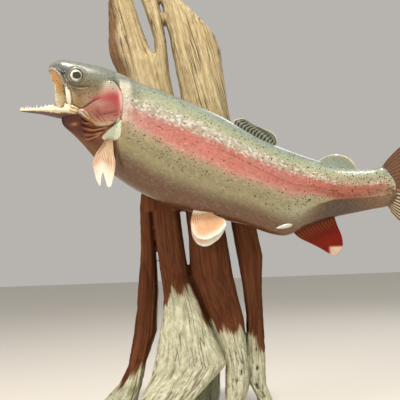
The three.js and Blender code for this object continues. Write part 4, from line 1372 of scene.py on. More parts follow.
def build_eye(side, material):
    """A glass dome: dark pupil, a thin gold ring, then the silver iris."""
    s, angle = flank_place(*EYE)
    if side == "right":
        angle = math.pi - angle
    centre = skin_points(s, angle, -EYE_INSET)[0]
    outward = (skin_points(s, angle, 1.0) - skin_points(s, angle, -1.0))[0]
    outward[2] = 0
    outward = unit(outward)
    ahead = np.cross(outward, [0, 0, 1.0]) * (1 if side == "left" else -1)
    rings, turns = 40, 96
    radius = np.sin(np.linspace(0.02, 1, rings) * math.pi / 2)
    r, turn = (a.ravel() for a in np.meshgrid(radius, circle(turns), indexing="ij"))
    high = EYE_BULGE * np.sqrt(np.maximum(0, 1 - r**2)) * (1 + 0.05 * bell(r - 0.55, 0.2))
    front = (
        centre
        + ahead * (EYE_RADIUS * r * np.cos(turn))[:, None]
        + np.array([0, 0, 1.0]) * (EYE_RADIUS * r * np.sin(turn))[:, None]
        + outward * high[:, None]
    )
    rim = front[-turns:]
    behind = np.concatenate([rim - outward * 1.5, centre + (rim - centre) * 0.5 - outward * 3.0])
    obj = closed_loft(f"eye_{side}_glass", np.vstack([front, behind]).reshape(rings + 2, turns, 3))
    # trout have a pupil that is drawn out a little towards the snout
    stretch = (0.06 * np.abs(np.cos(turn)) - 0.09 * np.abs(np.sin(turn)) ** 2) * bell(r - 0.62, 0.2)
    set_value(obj, "from_pupil", np.concatenate([r - stretch, np.ones(2 * turns), [0.0, 1.0]]))
    set_value(obj, "turn", np.concatenate([turn, np.zeros(2 * turns + 2)]))
    obj.data.materials.append(material)
    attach(obj, "root")
    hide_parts(f"eye_{side}")


def moist_material(name, tone, colours, roughness, relief, coat):
    """Mottled between two colours. tone: the mottle's noise; relief: a noise, a depth and a strength."""
    material, n, shader = new_material(name)
    mottle = n.noise(*tone)
    n.join(n.mix(mottle, *colours), shader.inputs["Base Color"])
    n.join(n.between(mottle, 0.3, 0.7, *roughness), shader.inputs["Roughness"])
    scale, detail, depth, strength = relief
    n.join(n.bump(n.noise(scale, detail), depth, strength), shader.inputs["Normal"])
    shader.inputs["Coat Weight"].default_value = coat
    return material


def tooth(at, high, radius, lean):
    """A small hooked cone, as rings that narrow to its tip."""
    phase = circle(8)
    outline = np.stack([np.cos(phase), np.sin(phase), 0 * phase], axis=1)
    rings = []
    for t in (0, 0.3, 0.6, 0.85, 1.0):
        middle = np.array(at) + [lean[0] * t * t, lean[1] * t * t, high * t]
        rings.append(middle + (radius * (1 - t) ** 0.7 + 0.06) * outline)
    return np.array(rings)


TEETH_A_SIDE = 11


def build_teeth():
    pieces = []
    rng = np.random.default_rng(5)
    for side in (-1, 1):
        for k in range(TEETH_A_SIDE):
            place_on_jaw = 0.15 + 3.4 * k / (TEETH_A_SIDE - 1) + 0.12 * rng.random()
            x, y, top, _, half = jaw_rows(np.array([place_on_jaw]))[0]
            across = side * max(0.8, half - JAW_WALL * 0.4)
            at = (x - HEAD_TURN * across, y + across, top - 0.8)
            high = (4.4 if k < 8 else 3.2) * (0.7 + 0.5 * rng.random())
            pieces.append(tooth(at, high, 0.95, (1.0 + rng.random(), -0.5 * side)))
    far_edge = curve_through(FAR_LOBE, steps=3)
    for x, z, half in far_edge[4:19:2]:
        at = (x - half + 1.2, lobe_y(x, z) + 2.6, z)
        pieces.append(tooth(at, -2.2 * (0.7 + 0.5 * rng.random()), 0.7, (-1.0, 0)))
    points, quads, triangles = zip(*(loft_faces(rings) for rings in pieces))
    starts = np.arange(len(pieces)) * len(points[0])
    quads = np.vstack([faces + start for faces, start in zip(quads, starts)])
    triangles = np.vstack([faces + start for faces, start in zip(triangles, starts)])
    obj = make_mesh("teeth", np.vstack(points), quads, triangles)
    obj.data.materials.append(moist_material(
        "teeth", (900.0, 2.0), (0xF6F0DC, 0xFFFEF8), (0.2, 0.4), (900.0, 2.0, 0.0001, 0.4), 0.5,
    ))
    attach(obj, "root")


def build_tongue():
    flesh = ball(TONGUE["size"], 60, 64)
    flesh[..., 2] -= 0.9 * bell(flesh[..., 1], 1.6) * (flesh[..., 2] > 0)
    obj = closed_loft("tongue_flesh", turned(flesh, 0, 1, math.atan(HEAD_TURN)) + TONGUE["at"])
    obj.data.materials.append(moist_material(
        "tongue", (500.0, 4.0, 0.6), (0xA8644E, 0xD79A80), (0.25, 0.5), (1400.0, 3.0, 0.0003, 0.5), 0.6,
    ))
    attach(obj, "root")
    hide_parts("tongue")


# ---------------------------------------------------------------- fins
# outline (x, z) from the front of the root round to its back; corners: the points where the
# leading edge and the outer edge end; lie: x, y, z, lean, sweep of the plane it lies in
FINS = {
    "pectoral_fin_left": {
        "outline": [
            (-125, 414), (-133, 402), (-139, 394), (-142, 386), (-144, 378), (-142, 370),
            (-139, 357), (-135, 349.5), (-133.5, 349), (-130, 366), (-124, 347), (-119, 347),
            (-115, 363), (-113, 380), (-115, 392), (-116, 414),
        ],
        "corners": (7, 11), "lie": (-122, -54.5, 412, .15, 0), "rays": 14, "slot": "fin_pale",
    },
    "pectoral_fin_right": {
        "outline": [
            (-134, 418), (-120, 400), (-108, 384), (-96, 370), (-84, 360), (-74, 355),
            (-68, 358), (-70, 368), (-78, 380), (-92, 394), (-108, 408), (-122, 422),
        ],
        "corners": (5, 7), "lie": (-124, 4.2, 413, -.14, .22), "rays": 14, "slot": "fin_pale",
    },
    "pelvic_fin_left": {
        "outline": [
            (-9, 318), (-13, 304), (-14, 295), (-13, 286), (-10, 279), (-5, 274), (2, 272),
            (10, 272), (17, 275), (25, 279), (30, 284), (35, 290), (35, 295), (32, 300),
            (19, 307), (12, 318),
        ],
        "corners": (5, 12), "lie": (0, -14, 312, .25, -.05), "rays": 13, "slot": "fin_pale",
    },
    "pelvic_fin_right": {
        "outline": [
            (-9, 314), (-13, 298), (-14, 288), (-13, 279), (-10, 272), (-5, 266), (3, 263),
            (11, 264), (18, 268), (25, 273), (30, 279), (34, 286), (34, 292), (30, 298),
            (19, 305), (12, 314),
        ],
        "corners": (5, 12), "lie": (0, 8.5, 312, -.2, .05), "rays": 13, "slot": "fin_pale",
    },
    "dorsal_fin": {
        "outline": [
            (52, 432), (53, 441), (60, 443.5), (66, 444), (72, 441), (78, 437), (84, 432.5),
            (93, 429), (100, 426), (107, 422), (112, 416), (113, 408), (108, 398),
        ],
        "corners": (4, 11), "rays": 13, "slot": "fin_green",
    },
    "adipose_fin": {
        "outline": [
            (169, 372), (172, 379), (179, 383), (187, 385.5), (197, 385.5), (207, 382.5),
            (214, 378), (219, 371), (221, 362), (216, 356),
        ],
        "corners": (3, 8), "rays": 0, "slot": "fin_green",
    },
    "anal_fin": {
        "outline": [
            (128, 284), (132, 276.5), (140, 269), (153, 262), (167, 254), (180, 245.5),
            (189, 242), (194, 248), (198, 257), (198, 265), (196, 274), (192, 285), (188, 300),
        ],
        "corners": (6, 9), "rays": 13, "slot": "fin_red",
    },
    "caudal_fin": {
        "outline": [
            (252, 352), (256, 364.5), (267, 378), (281, 390.5), (297, 402), (314, 411),
            (322, 412), (322, 404), (318, 388), (313, 368), (309, 350), (307, 335),
            (308, 318), (311, 300), (315, 280), (317, 262), (315, 255), (307, 255),
            (292, 268), (276, 285), (266, 297), (261, 307), (254, 320),
        ],
        "corners": (6, 16), "rays": 20, "slot": "fin_brown",
    },
}
FIN_STEPS = 46  # rows of points from the root out
FIN_HALF = 0.72  # half thickness at a ray's root


def fin_sheet(fin, columns):
    """(x, z) over a fin, as a grid from its root out and from its front to its back."""
    outline, (lead_end, trail_start) = fin["outline"], fin["corners"]
    lead = even_points(curve_through(outline[:lead_end + 1], steps=10), FIN_STEPS)
    outer = even_points(curve_through(outline[lead_end:trail_start + 1], steps=10), columns)
    trail = even_points(curve_through(outline[trail_start:][::-1], steps=10), FIN_STEPS)
    root = even_points(np.array([outline[0], outline[-1]], float), columns)
    t = np.linspace(0, 1, columns)[None, :, None]
    v = np.linspace(0, 1, FIN_STEPS)[:, None, None]
    corners = (1 - v) * ((1 - t) * root[0] + t * root[-1]) + v * ((1 - t) * outer[0] + t * outer[-1])
    return (1 - v) * root + v * outer + (1 - t) * lead[:, None] + t * trail[:, None] - corners


def middle_plane(x):
    """y of the body's middle plane at x, carried on behind the tail's root."""
    s = np.linspace(0, LAST, 400)
    middle = middle_at(s)
    y = np.interp(x, middle[:, 0], middle[:, 1])
    return np.where(x > middle[-1, 0], middle[-1, 1] - 0.3 * (x - middle[-1, 0]), y)


def ray_ridges(t, v, rays):
    """1 on a ray, 0 between rays; each ray splits in two on its way out."""
    if not rays:
        return np.zeros_like(t)
    single = np.abs(np.cos(math.pi * rays * t)) ** 3
    double = np.abs(np.cos(2 * math.pi * rays * t)) ** 2
    return single + (0.8 * double - single) * smooth((v - 0.45) / 0.3)


# A fin's paint is a function of t, 0 at its front and 1 at its back; v, 0 at its root and 1 at its
# edge; ridge, 1 on a ray; and the place (x, z)
def specks(x, z):
    return noise_at(x / 2.2, z / 2.2, 0 * x, 17)


def pectoral_paint(t, v, ridge, x, z):
    cloud = noise_at(x / 9.0, z / 9.0, 0 * x, 23)
    paint = ramp(v + 0.05 * cloud, [
        (0, 0xD2C6A4), (.2, 0xF6E2C0), (.45, 0xFAE8CC), (.62, 0xEEDCC2), (.75, 0xECE2D0),
        (1, 0xF0ECE0),
    ])
    paint = blend(paint, 0xDC9A78, 0.35 * bell(v - 0.5, 0.18) * smooth(0.3 + cloud))
    return blend(paint, 0x7A4A2C, 0.62 * (1 - ridge) * (1 - smooth((v - 0.5) / 0.25)))


def pelvic_paint(t, v, ridge, x, z):
    paint = ramp(v, [
        (0, 0xEEF0E0), (.16, 0xF0EEDC), (.22, 0xE3B487), (.7, 0xE6B890), (.86, 0xEFD9BC),
        (.93, 0xF7F5EA), (1, 0xF9F8F0),
    ])
    paint = blend(paint, 0xF4F2E8, smooth((0.22 - t) / 0.18) * smooth((v - 0.3) / 0.3))
    between_ends = smooth((v - 0.15) / 0.1) * (1 - smooth((v - 0.8) / 0.15))
    return blend(paint, 0xBF8458, 0.5 * (1 - ridge) * between_ends)


def dorsal_paint(t, v, ridge, x, z):
    paint = blend(rgb(0x252B22), 0xA6A88C, ridge**1.5)
    bars = smooth((np.sin(17 * v + 9 * t) - 0.35) / 0.4)
    paint = blend(paint, 0x9CA48C, 0.55 * bars * smooth((v - 0.25) / 0.2))
    paint = blend(paint, 0xD6D2B8, smooth((v - 0.90) / 0.05) + smooth((0.04 - t) / 0.03))
    return blend(paint, 0x1A1E18, 0.7 * smooth((specks(x, z) - 0.35) / 0.2) * (1 - smooth((v - 0.85) / 0.05)))


def adipose_paint(t, v, ridge, x, z):
    paint = ramp(v, [(0, 0x9BA79A), (.5, 0x8C9888), (.85, 0x8E9684), (.93, 0xCFC9A8), (1, 0xDCD6B4)])
    paint = blend(paint, 0xDCD6B4, smooth((0.03 - t) / 0.03) + smooth((t - 0.95) / 0.04))
    return blend(paint, 0x3A4038, 0.6 * smooth((specks(x, z) - 0.45) / 0.2))


def anal_paint(t, v, ridge, x, z):
    # brown at the root and a deep, dark red beyond: the fin's own red, darkened with painted shade where it
    # lies under the belly
    paint = ramp(v, [(0, 0x7A4420), (.25, 0x7C3814), (.42, 0x7E1C00), (1, 0x7E1400)])
    tip = smooth((x - 177) / 5) * smooth((258 - z) / 4)
    paint = blend(paint, 0xD8BFAC, tip)
    return blend(paint, 0x5E1004, 0.4 * (1 - ridge) * (1 - tip))


def caudal_paint(t, v, ridge, x, z):
    """Brown above and pale below."""
    low = smooth((t - 0.5) / 0.1)
    upper = ramp(v, [(0, 0x6E3E1A), (.5, 0x78461C), (1, 0x6C4020)])
    lower = ramp(v, [(0, 0xD0B68C), (.5, 0xE4D0A6), (1, 0xDAC69C)])
    paint = blend(upper, lower, low)
    paint = blend(paint, 0x2E1E12, (0.30 + 0.6 * low) * (1 - ridge))
    return blend(paint, 0x2A211A, 0.65 * smooth((specks(x, z) - 0.30) / 0.2) * (1 - 0.6 * low))


FIN_PAINTS = {
    "pectoral": pectoral_paint, "pelvic": pelvic_paint, "dorsal": dorsal_paint,
    "adipose": adipose_paint, "anal": anal_paint, "caudal": caudal_paint,
}


def fin_material(name, coat, specular):
    material, n, shader = new_material(name)
    tone = n.noise(420.0, 4.0, 0.6)
    paint = n.attribute("paint", "Color")
    shaded = n.mix(n.between(tone, 0.35, 0.75, 0.0, 0.4), paint, n.tinted(paint, 0xB8A890))
    n.join(shaded, shader.inputs["Base Color"])
    n.join(n.between(tone, 0.3, 0.7, 0.34, 0.5), shader.inputs["Roughness"])
    n.join(n.bump(n.noise(1500.0, 3.0), 0.00015, 0.5), shader.inputs["Normal"])
    shader.inputs["Specular IOR Level"].default_value = specular
    shader.inputs["Coat Weight"].default_value = coat
    shader.inputs["Coat Roughness"].default_value = 0.14
    return material


def build_fin(name, fin, material):
    """Two ribbed faces, joined round the edge."""
    columns = max(60, fin["rays"] * 9)
    sheet = fin_sheet(fin, columns)
    t, v = np.meshgrid(np.linspace(0, 1, columns), np.linspace(0, 1, FIN_STEPS))
    ridge = ray_ridges(t, v, fin["rays"])
    x, z = sheet[..., 0], sheet[..., 1]
    if "lie" in fin:
        at_x, at_y, at_z, lean, sweep = fin["lie"]
        y = at_y + lean * (z - at_z) + sweep * (x - at_x)
    else:
        y = middle_plane(x)
    wave = 0.5 * smooth(v) * np.sin(t * 9 + v * 2)
    edge = np.minimum(np.minimum(t, 1 - t) * columns / 3, (1 - v) * FIN_STEPS / 3).clip(0, 1) ** 0.5
    if fin["rays"]:
        half = (0.2 + FIN_HALF * ridge * (1 - 0.62 * v)) * (0.25 + 0.75 * edge)
    else:
        half = (1.7 * (1 - v) ** 0.6 + 0.3) * (0.2 + 0.8 * edge)
    near = np.stack([x, y + wave - half, z], axis=-1)
    far = np.stack([x, y + wave + half, z], axis=-1)
    points = np.vstack([near.reshape(-1, 3), far.reshape(-1, 3)])
    faces = grid_faces(FIN_STEPS, columns, around=False)
    index = np.arange(FIN_STEPS * columns).reshape(FIN_STEPS, columns)
    loop = np.concatenate([index[0], index[1:, -1], index[-1, -2::-1], index[-2:0:-1, 0]])
    after = np.roll(loop, -1)
    rim = np.stack([loop, after, after + index.size, loop + index.size], axis=1)
    quads = np.vstack([faces[:, ::-1], faces + index.size, rim])
    if faces_inwards(points, halves(quads)):
        quads = quads[:, ::-1]
    obj = make_mesh(name + "_rays", points, quads)
    fin_paint = FIN_PAINTS[name.split("_")[0]]
    paint = fin_paint(*(values.ravel() for values in (t, v, ridge, x, z)))
    set_paint(obj, np.vstack([paint, paint]))
    obj.data.materials.append(material)
    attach(obj, "root")
    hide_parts(name)


def build_fins():
    varnished = fin_material("fin", 0.55, 0.5)
    dull = fin_material("dull fin", 0.1, 0.15)
    for name, fin in FINS.items():
        build_fin(name, fin, dull if name == "anal_fin" else varnished)


# ---------------------------------------------------------------- driftwood
# each row: height, left and right side (x), front and back (y) of an upright strip
WOOD = {
    "top_left": [
        (716, -124, -108, 58, 84), (690, -127, -101, 52, 90), (645, -130, -91, 50, 94),
        (604, -131, -79.5, 48, 97), (575, -131.5, -70.5, 45.5, 99.5), (562, -130.5, -64, 45, 100),
        (553, -128, -54, 44, 100), (545, -124.5, -42.5, 43, 100), (532, -119, -40, 42, 101),
        (490, -110, -33, 40, 102), (453, -104, -27, 38, 103), (420, -99, -24, 36, 104),
    ],
    "top_middle": [
        (704, -93, -73, 60, 82), (684, -89, -63.5, 56, 85), (672, -86, -56.5, 55, 87),
        (657, -82, -52.5, 54, 89), (645, -79, -50.8, 53, 90), (632, -75, -50.5, 52, 91),
        (610, -69, -46.5, 50, 94), (580, -61, -42.5, 48, 97), (552, -60, -41, 46, 98),
        (520, -70, -39, 45, 98),
    ],
    "top_right": [
        (690, -62, -50, 58, 80), (676, -59.5, -44, 56, 82), (668, -57.5, -40, 55, 83),
        (645, -51.5, -22, 52, 86), (632, -46, -9, 50, 89), (611, -43.5, 10, 48, 92), (598, -40.5, 23, 47, 94),
        (585, -37, 32, 46, 96), (563, -34, 40, 44, 98), (516, -27, 44, 41, 101), (485, -23, 47, 39, 102),
        (453, -20, 50.5, 37, 104), (420, -30, 58, 36, 104),
    ],
    "bridge": [(619, -49, -40, 58, 88), (612, -50, -38, 57, 90), (606, -48, -37, 58, 90)],
    "core": [
        (470, -106.5, 48.5, 36, 103), (457, -104, 50.5, 35, 104), (400, -95.5, 62, 33, 105),
        (345, -88, 74, 34, 106), (318, -91, 77, 36, 106),
    ],
    "left_leg": [
        (345, -88, -70, 44, 102), (328, -91, -73.5, 45, 102), (262, -91.5, -69, 49, 104),
        (200, -98, -68, 51, 106), (140, -105, -73, 49, 108), (92, -114, -91, 46, 104),
        (66, -128, -96, 42, 100), (40, -154, -104, 38, 98), (18, -174, -111, 32, 98),
        (0, -186, -118, 28, 100),
    ],
    "centre_leg": [
        (345, -75, -31, 36, 105), (328, -73, -31, 37, 105), (280, -68.5, -27.5, 34, 104),
        (222, -63, -20.5, 29, 102), (190, -59, -8, 22, 99), (150, -64, 8, 13, 92), (93, -75, 29, 2, 78),
        (72, -82, 7, -6, 68), (45, -98, -21, -18, 54), (20, -113, -44, -28, 40), (0, -122, -60, -36, 32),
    ],
    "middle_leg": [
        (345, -26, 31, 36, 107), (328, -23.5, 31, 37, 107), (280, -20, 37.5, 36, 107),
        (222, -19.5, 44.5, 33, 105), (190, -7, 51, 28, 102), (161, 5, 57.5, 24, 98),
        (93, 29.6, 60.5, 16, 90), (60, 27.5, 61, 10, 84), (38, 26.5, 52, 6, 80), (0, 24, 49, 0, 76),
    ],
    "right_leg": [
        (345, 38, 74, 42, 104), (328, 41, 77, 42, 104), (284, 47.5, 84, 44, 104), (245, 53.5, 91, 46, 103),
        (205, 59, 87, 46, 102), (161, 63, 86.5, 43, 100), (93, 61, 87, 38, 98),
        (60, 63, 85, 34, 96), (38, 75, 94, 30, 94), (0, 78, 100, 26, 94),
    ],
    "back_root": [
        (215, -30, 12, 104, 114), (150, -38, 18, 100, 132), (90, -46, 22, 96, 152),
        (40, -52, 20, 92, 172), (0, -56, 14, 90, 186),
    ],
}
LEGS = ("left_leg", "centre_leg", "middle_leg", "right_leg")
LEGS_TOP = 318.0
GRAIN_LEAN = [(0, 12), (LEGS_TOP, 0), (345, -1), (453, -16), (560, -40), (640, -60), (720, -84)]
FACET = [(440, 0), (500, 26), (560, 25), (620, 18), (690, 8), (716, 4)]  # height, width
FACET_DEPTH = 17.0
# x and height: the pale, bleached feet end at one line, which is also the lower edge of the painted shadow of
# the fish, and that painted shadow ends at the other
PALE_TOP = [
    (-125, 66), (-95, 78), (-78, 92), (-68, 155), (-45, 190), (-20, 195), (0, 150), (30, 140), (70, 128),
    (90, 90),
]
SHADE_TOP = [(-120, 385), (-60, 352), (0, 340), (60, 325), (120, 310)]
WOOD_VOXEL = 1.4  # millimetres
WOOD_SOLID_ROWS = 60
WOOD_GAP = 0.1  # millimetres


def strip_sides(rows, z):
    """left, right, front and back of a strip at the heights z."""
    rows = np.array(rows, float)[::-1]
    return [np.interp(z, rows[:, 0], rows[:, k]) for k in range(1, 5)]


def strip_hull(name, rows):
    """A strip with round corners, and ends that narrow where they are free."""
    top, foot = rows[0][0], rows[-1][0]
    z = np.linspace(foot, top, WOOD_SOLID_ROWS)
    left, right, front, back = strip_sides(rows, z)
    phase = circle(44)
    side, deep = soft_power(np.cos(phase), 0.55), soft_power(np.sin(phase), 0.55)
    x = ((left + right) / 2)[:, None] + ((right - left) / 2)[:, None] * side
    y = ((front + back) / 2)[:, None] + ((back - front) / 2)[:, None] * deep
    return closed_loft(name, np.stack([x, y, np.repeat(z[:, None], len(phase), axis=1)], axis=-1))


def wood_frame(points):
    """Each point's place across the grain, in millimetres: the fibres follow the strips' lean."""
    x, y, z = points.T
    across = x - curve_value(z, GRAIN_LEAN)
    best = np.full(len(points), 1e9)
    for name in LEGS:
        rows = WOOD[name]
        left, right, front, back = strip_sides(rows, z)
        outside = np.maximum(np.maximum(left - x, x - right), np.maximum(front - y, y - back) * 0.6)
        outside = np.maximum(outside, np.maximum(rows[-1][0] - z, z - rows[0][0]) * 3)
        nearer = (outside < best) & (z < LEGS_TOP)
        best = np.where(nearer, outside, best)
        top_left, top_right = strip_sides(rows, np.array([LEGS_TOP]))[:2]
        middle, width = (left + right) / 2, np.maximum(right - left, 1)
        spread = np.sqrt((top_right - top_left) / width).clip(0.6, 1.2)
        across = np.where(nearer, (x - middle) * spread + (top_left + top_right) / 2, across)
    return across


def wood_facet(x, y, z):
    """1 on the edge where the upper left strip falls away in one long facet, 0 off it."""
    left, _, front, back = strip_sides(WOOD["top_left"], z)
    share = np.clip(1 - (x - left) / np.maximum(curve_value(z, FACET), 0.1), 0, 1) * (z > FACET[0][0])
    return share * np.clip((back - y) / (back - front), 0, 1)


def wood_relief(points, across):
    """Furrows, splits and fibres that run along the grain; how deep each point lies in them."""
    x, y, z = points.T
    rough = 0.6 + 0.9 * smooth((205 - z) / 110)  # the foot is weathered deepest
    grain = across + 3.0 * noise_at(across / 34, y / 40, z / 85, 40)
    broad = noise_at(grain / 15, y / 22, z / 260, 41)
    furrow = 1 - 2 * np.abs(noise_at(grain / 6.5, y / 9, z / 220, 42))
    fibre = noise_at(grain / 2.3, y / 3.2, z / 110, 43)
    split = np.abs(noise_at(grain / 12, y / 30, z / 330, 44))
    present = smooth(1.5 * noise_at(grain / 16, y / 40, z / 75, 45) + 0.62)
    crack = smooth((0.2 - split) / 0.2) ** 2 * present
    knobs = noise(points / 11.0, 46)
    pits = smooth((noise_at(grain / 4.5, y / 6, z / 13, 47) - 0.3) / 0.3)
    pits *= np.maximum(smooth((165 - z) / 90) * 0.5, smooth((x - 20) / 25) * smooth((150 - z) / 60))
    relief = 1.3 * broad + furrow * rough + 0.5 * fibre * rough + 0.5 * knobs - 2.2 * crack * rough
    relief -= 3.0 * pits + 0.9
    # how dark each point is painted for lying deep in a split, furrow or pit: painted shade in the recesses
    dark = 0.35 - 0.12 * smooth((200 - z) / 40)
    depth = dark * crack + 0.22 * (0.5 - 0.5 * furrow) + 0.5 * pits + 0.12 * (0.5 - fibre)
    return relief, np.clip(depth, 0, 1)


def wood_material():
    """Weathered wood: tan fibres above, grey and cracked at the foot; painted shade in dark brown for the
    fish's shadow and the turned-away facet, and painted shade deep in cracks, furrows and pits.
    """
    material, n, shader = new_material("driftwood")
    grain = n.attribute("grain", "Vector")
    fine = n.noise(1.6, 5.0, 0.65, grain, 0.4)
    streak = n.noise(0.30, 4.0, 0.6, grain, 0.2)
    wide = n.noise(0.05, 2.0, 0.5, grain, 0.2)
    depth = n.attribute("depth")
    foot = n.attribute("foot")

    def stretched(*shares):
        return n.vector_maths("MULTIPLY", grain, shares)

    def lines(scale, width, shown_low, shown_high, vector):
        """Thin lines along the grain, where a noise crosses its middle; they come and go."""
        middle = n.maths("ABSOLUTE", n.maths("SUBTRACT", n.noise(scale, 2.0, 0.55, vector, 0.15), 0.5))
        shown = n.between(n.noise(scale * 0.6, 2.0, 0.5, stretched(1.3, 1.3, 7.0)), shown_low, shown_high)
        return n.maths("MULTIPLY", n.between(middle, width * 0.3, width, 1.0, 0.0), shown)

    long_lines = lines(0.085, 0.014, 0.44, 0.54, stretched(1.0, 0.35, 1.0))
    hair_lines = lines(0.20, 0.024, 0.46, 0.56, stretched(1.0, 0.4, 1.6))
    grit = n.noise(0.46, 4.0, 0.7, stretched(1.0, 0.8, 12.0), 0.3)
    shade = n.attribute("shade")
    tan = n.mix(n.between(streak, 0.34, 0.66), 0xAC9669, 0xD6C8A2)
    tan = n.mix(n.between(wide, 0.42, 0.66, 0.0, 0.7), tan, 0xB8A67E)
    pale = n.mix(n.between(streak, 0.34, 0.66), 0xB6B696, 0xDADCC6)
    colour = n.mix(foot, tan, pale)
    colour = n.mix(n.maths("MULTIPLY", n.between(grit, 0.50, 0.68, 0.0, 0.4), foot), colour, 0x6C6446)
    # the dark brown of the painted shadow
    shade_brown = n.mix(n.between(streak, 0.3, 0.7), 0x541A06, 0x6E320F)
    colour = n.mix(shade, colour, shade_brown)
    colour = n.mix(n.between(fine, 0.42, 0.72, 0.0, 0.45), colour, n.tinted(colour, 0xAE925F))
    dark = n.mix(foot, 0x3A2412, 0x332C1C)
    marks = n.maths("MAXIMUM", n.maths("MULTIPLY", long_lines, 0.8), n.maths("MULTIPLY", hair_lines, 0.35))
    marks = n.maths("MULTIPLY", marks, n.between(shade, 0.0, 1.0, 1.0, 0.3))
    marks = n.maths("MULTIPLY", marks, n.between(foot, 0.0, 1.0, 1.0, 0.8))
    colour = n.mix(marks, colour, dark)
    # darker the deeper the point lies: painted shade in the recesses
    colour = n.mix(n.between(depth, 0.22, 0.75, 0.0, 0.92), colour, dark)
    n.join(colour, shader.inputs["Base Color"])
    n.join(n.between(fine, 0.3, 0.7, 0.68, 0.9), shader.inputs["Roughness"])
    # less specular shine in the painted shadow
    n.join(n.between(shade, 0.0, 1.0, 0.5, 0.12), shader.inputs["Specular IOR Level"])
    first = n.bump(n.maths("SUBTRACT", grit, marks), 0.0016, 0.8)
    n.join(n.bump(n.noise(5.0, 3.0, 0.6, grain), 0.0004, 0.6, first), shader.inputs["Normal"])
    return material


def body_hull():
    """The trunk's plain body with a gap round it, where it lies against the wood."""
    s, angle = np.meshgrid(np.linspace(6.0, 13, 90), circle(72), indexing="ij")
    rings = skin_points(s.ravel(), angle.ravel(), WOOD_GAP).reshape(*s.shape, 3)
    return closed_loft("body_hull", rings)


def build_driftwood():
    hulls = [strip_hull(f"strip_{name}", rows) for name, rows in WOOD.items()]
    wood = hulls[0]
    wood.name = "driftwood"
    bpy.context.view_layer.update()
    with bpy.context.temp_override(active_object=wood, selected_editable_objects=hulls, object=wood):
        bpy.ops.object.join()
    remesh = wood.modifiers.new("remesh", "REMESH")
    remesh.mode = "VOXEL"
    remesh.voxel_size = WOOD_VOXEL * MM
    apply_modifiers(wood)
    points, normal = coordinates(wood), vertex_rows(wood, "normal")
    across = wood_frame(points)
    facet = wood_facet(*points.T)
    points[:, 1] += FACET_DEPTH * facet * smooth((points[:, 2] - FACET[0][0]) / 50)
    relief, depth = wood_relief(points, across)
    relief *= smooth(points[:, 2] / 6 + 0.15)
    moved = points + normal * relief[:, None]
    moved[:, 2] = np.maximum(moved[:, 2], 0.0)
    moved[points[:, 2] < 0.8, 2] = 0.0
    set_coordinates(wood, neighbour_mean(wood, moved, np.full(len(moved), 0.35), 1))
    x, y, z = points.T
    set_value(wood, "grain", np.column_stack([across, y, z / 40]), "FLOAT_VECTOR", "vector")
    set_value(wood, "depth", depth)
    ragged = 14 * noise_at(across / 9, y / 30, z / 60, 50) + 7 * noise_at(across / 2.5, y / 12, z / 40, 51)
    lit = curve_value(x, PALE_TOP)
    set_value(wood, "foot", smooth((lit + 10 + ragged - z) / 12))
    # the fish's shadow on the wood below it is painted dark brown, and the facet turned away from the light
    # gets painted shade
    under_fish = 0.92 * smooth((92 - y) / 25) * smooth((curve_value(x, SHADE_TOP) - z) / 20)
    under_fish *= smooth((z - lit - ragged) / 10)
    set_value(wood, "shade", np.maximum(under_fish, 0.7 * smooth(facet * 2.2 - 0.1)))
    carve(wood, body_hull(), "DIFFERENCE")
    wood.data.materials.clear()
    wood.data.materials.append(wood_material())
    set_smooth(wood.data)
    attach(wood, "root")
    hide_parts(*[f"driftwood_{name}" for name in WOOD if name != "bridge"])


# ---------------------------------------------------------------- camera, light and floor
SENSOR = 36.0  # millimetres
PICTURE = 400.0  # pixels across
FOCAL_PIXELS = 845.0
EYE_POINT = (0, -1200, 245)  # the camera's place in the drawing
CAMERA_PITCH, CAMERA_ROLL = 94.0, -2.15  # degrees
FLOOR_REACH = 9000.0
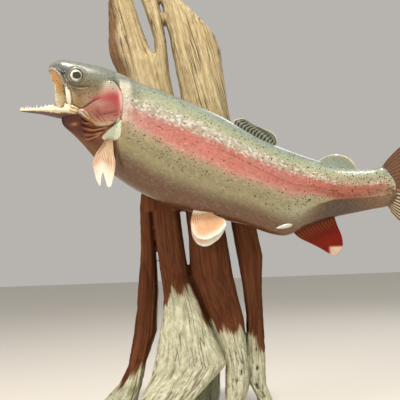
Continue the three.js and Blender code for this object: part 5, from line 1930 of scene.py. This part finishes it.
# place and target in the part's frame, then size, power and colour
LAMPS = {
    "key": ((-0.15, -0.72, 2.1), (0.0, 0.0, 0.38), 0.22, 41.0, 0xFFF6E8),
    "fill": ((-0.95, -1.05, 0.8), (-0.1, 0.0, 0.4), 0.5, 6.0, 0xFFF3E6),
    "back": ((1.0, 1.6, 1.8), (0.0, 0.0, 0.4), 1.2, 10.0, 0xEFF4FF),
}


def build_camera(scene):
    camera = bpy.data.objects.new("camera", bpy.data.cameras.new("camera"))
    scene.collection.objects.link(camera)
    camera.data.sensor_width = SENSOR
    camera.data.lens = FOCAL_PIXELS * SENSOR / PICTURE
    camera.data.clip_start = 0.05
    pitch = Matrix.Rotation(math.radians(CAMERA_PITCH), 4, "X")
    roll = Matrix.Rotation(math.radians(CAMERA_ROLL), 4, "Z")
    camera.matrix_world = Matrix.Translation(Vector(place(EYE_POINT))) @ pitch @ roll
    scene.camera = camera


def build_floor():
    corners = FLOOR_REACH * np.array([[-1, -1, 0], [1, -1, 0], [1, 1, 0], [-1, 1, 0]])
    floor = make_mesh("floor", corners, [[0, 1, 2, 3]])
    material, _, shader = new_material("floor")
    shader.inputs["Base Color"].default_value = colour4(0xDCD8D0)
    shader.inputs["Roughness"].default_value = 0.8
    floor.data.materials.append(material)


def build_lamp(scene, name, at, target, size, power, colour):
    light = bpy.data.lights.new(name, "AREA")
    light.shape = "DISK"
    light.size = size
    light.energy = power
    light.color = colour4(colour)[:3]
    obj = bpy.data.objects.new(name, light)
    obj.location = at
    obj.rotation_euler = (Vector(target) - Vector(at)).to_track_quat("-Z", "Y").to_euler()
    scene.collection.objects.link(obj)


def build_stage():
    scene = bpy.context.scene
    scene.view_settings.view_transform = "Standard"
    build_camera(scene)
    build_floor()
    world = bpy.data.worlds.new("studio")
    scene.world = world
    world.use_nodes = True
    background = world.node_tree.nodes["Background"]
    background.inputs[0].default_value = colour4(0xE6E2DC)
    background.inputs[1].default_value = 0.6
    for name, settings in LAMPS.items():
        build_lamp(scene, name, *settings)


build_stage()
build_skin()
build_coat()
eyes = eye_material()
build_eye("left", eyes)
build_eye("right", eyes)
build_teeth()
build_tongue()
build_fins()
build_driftwood()
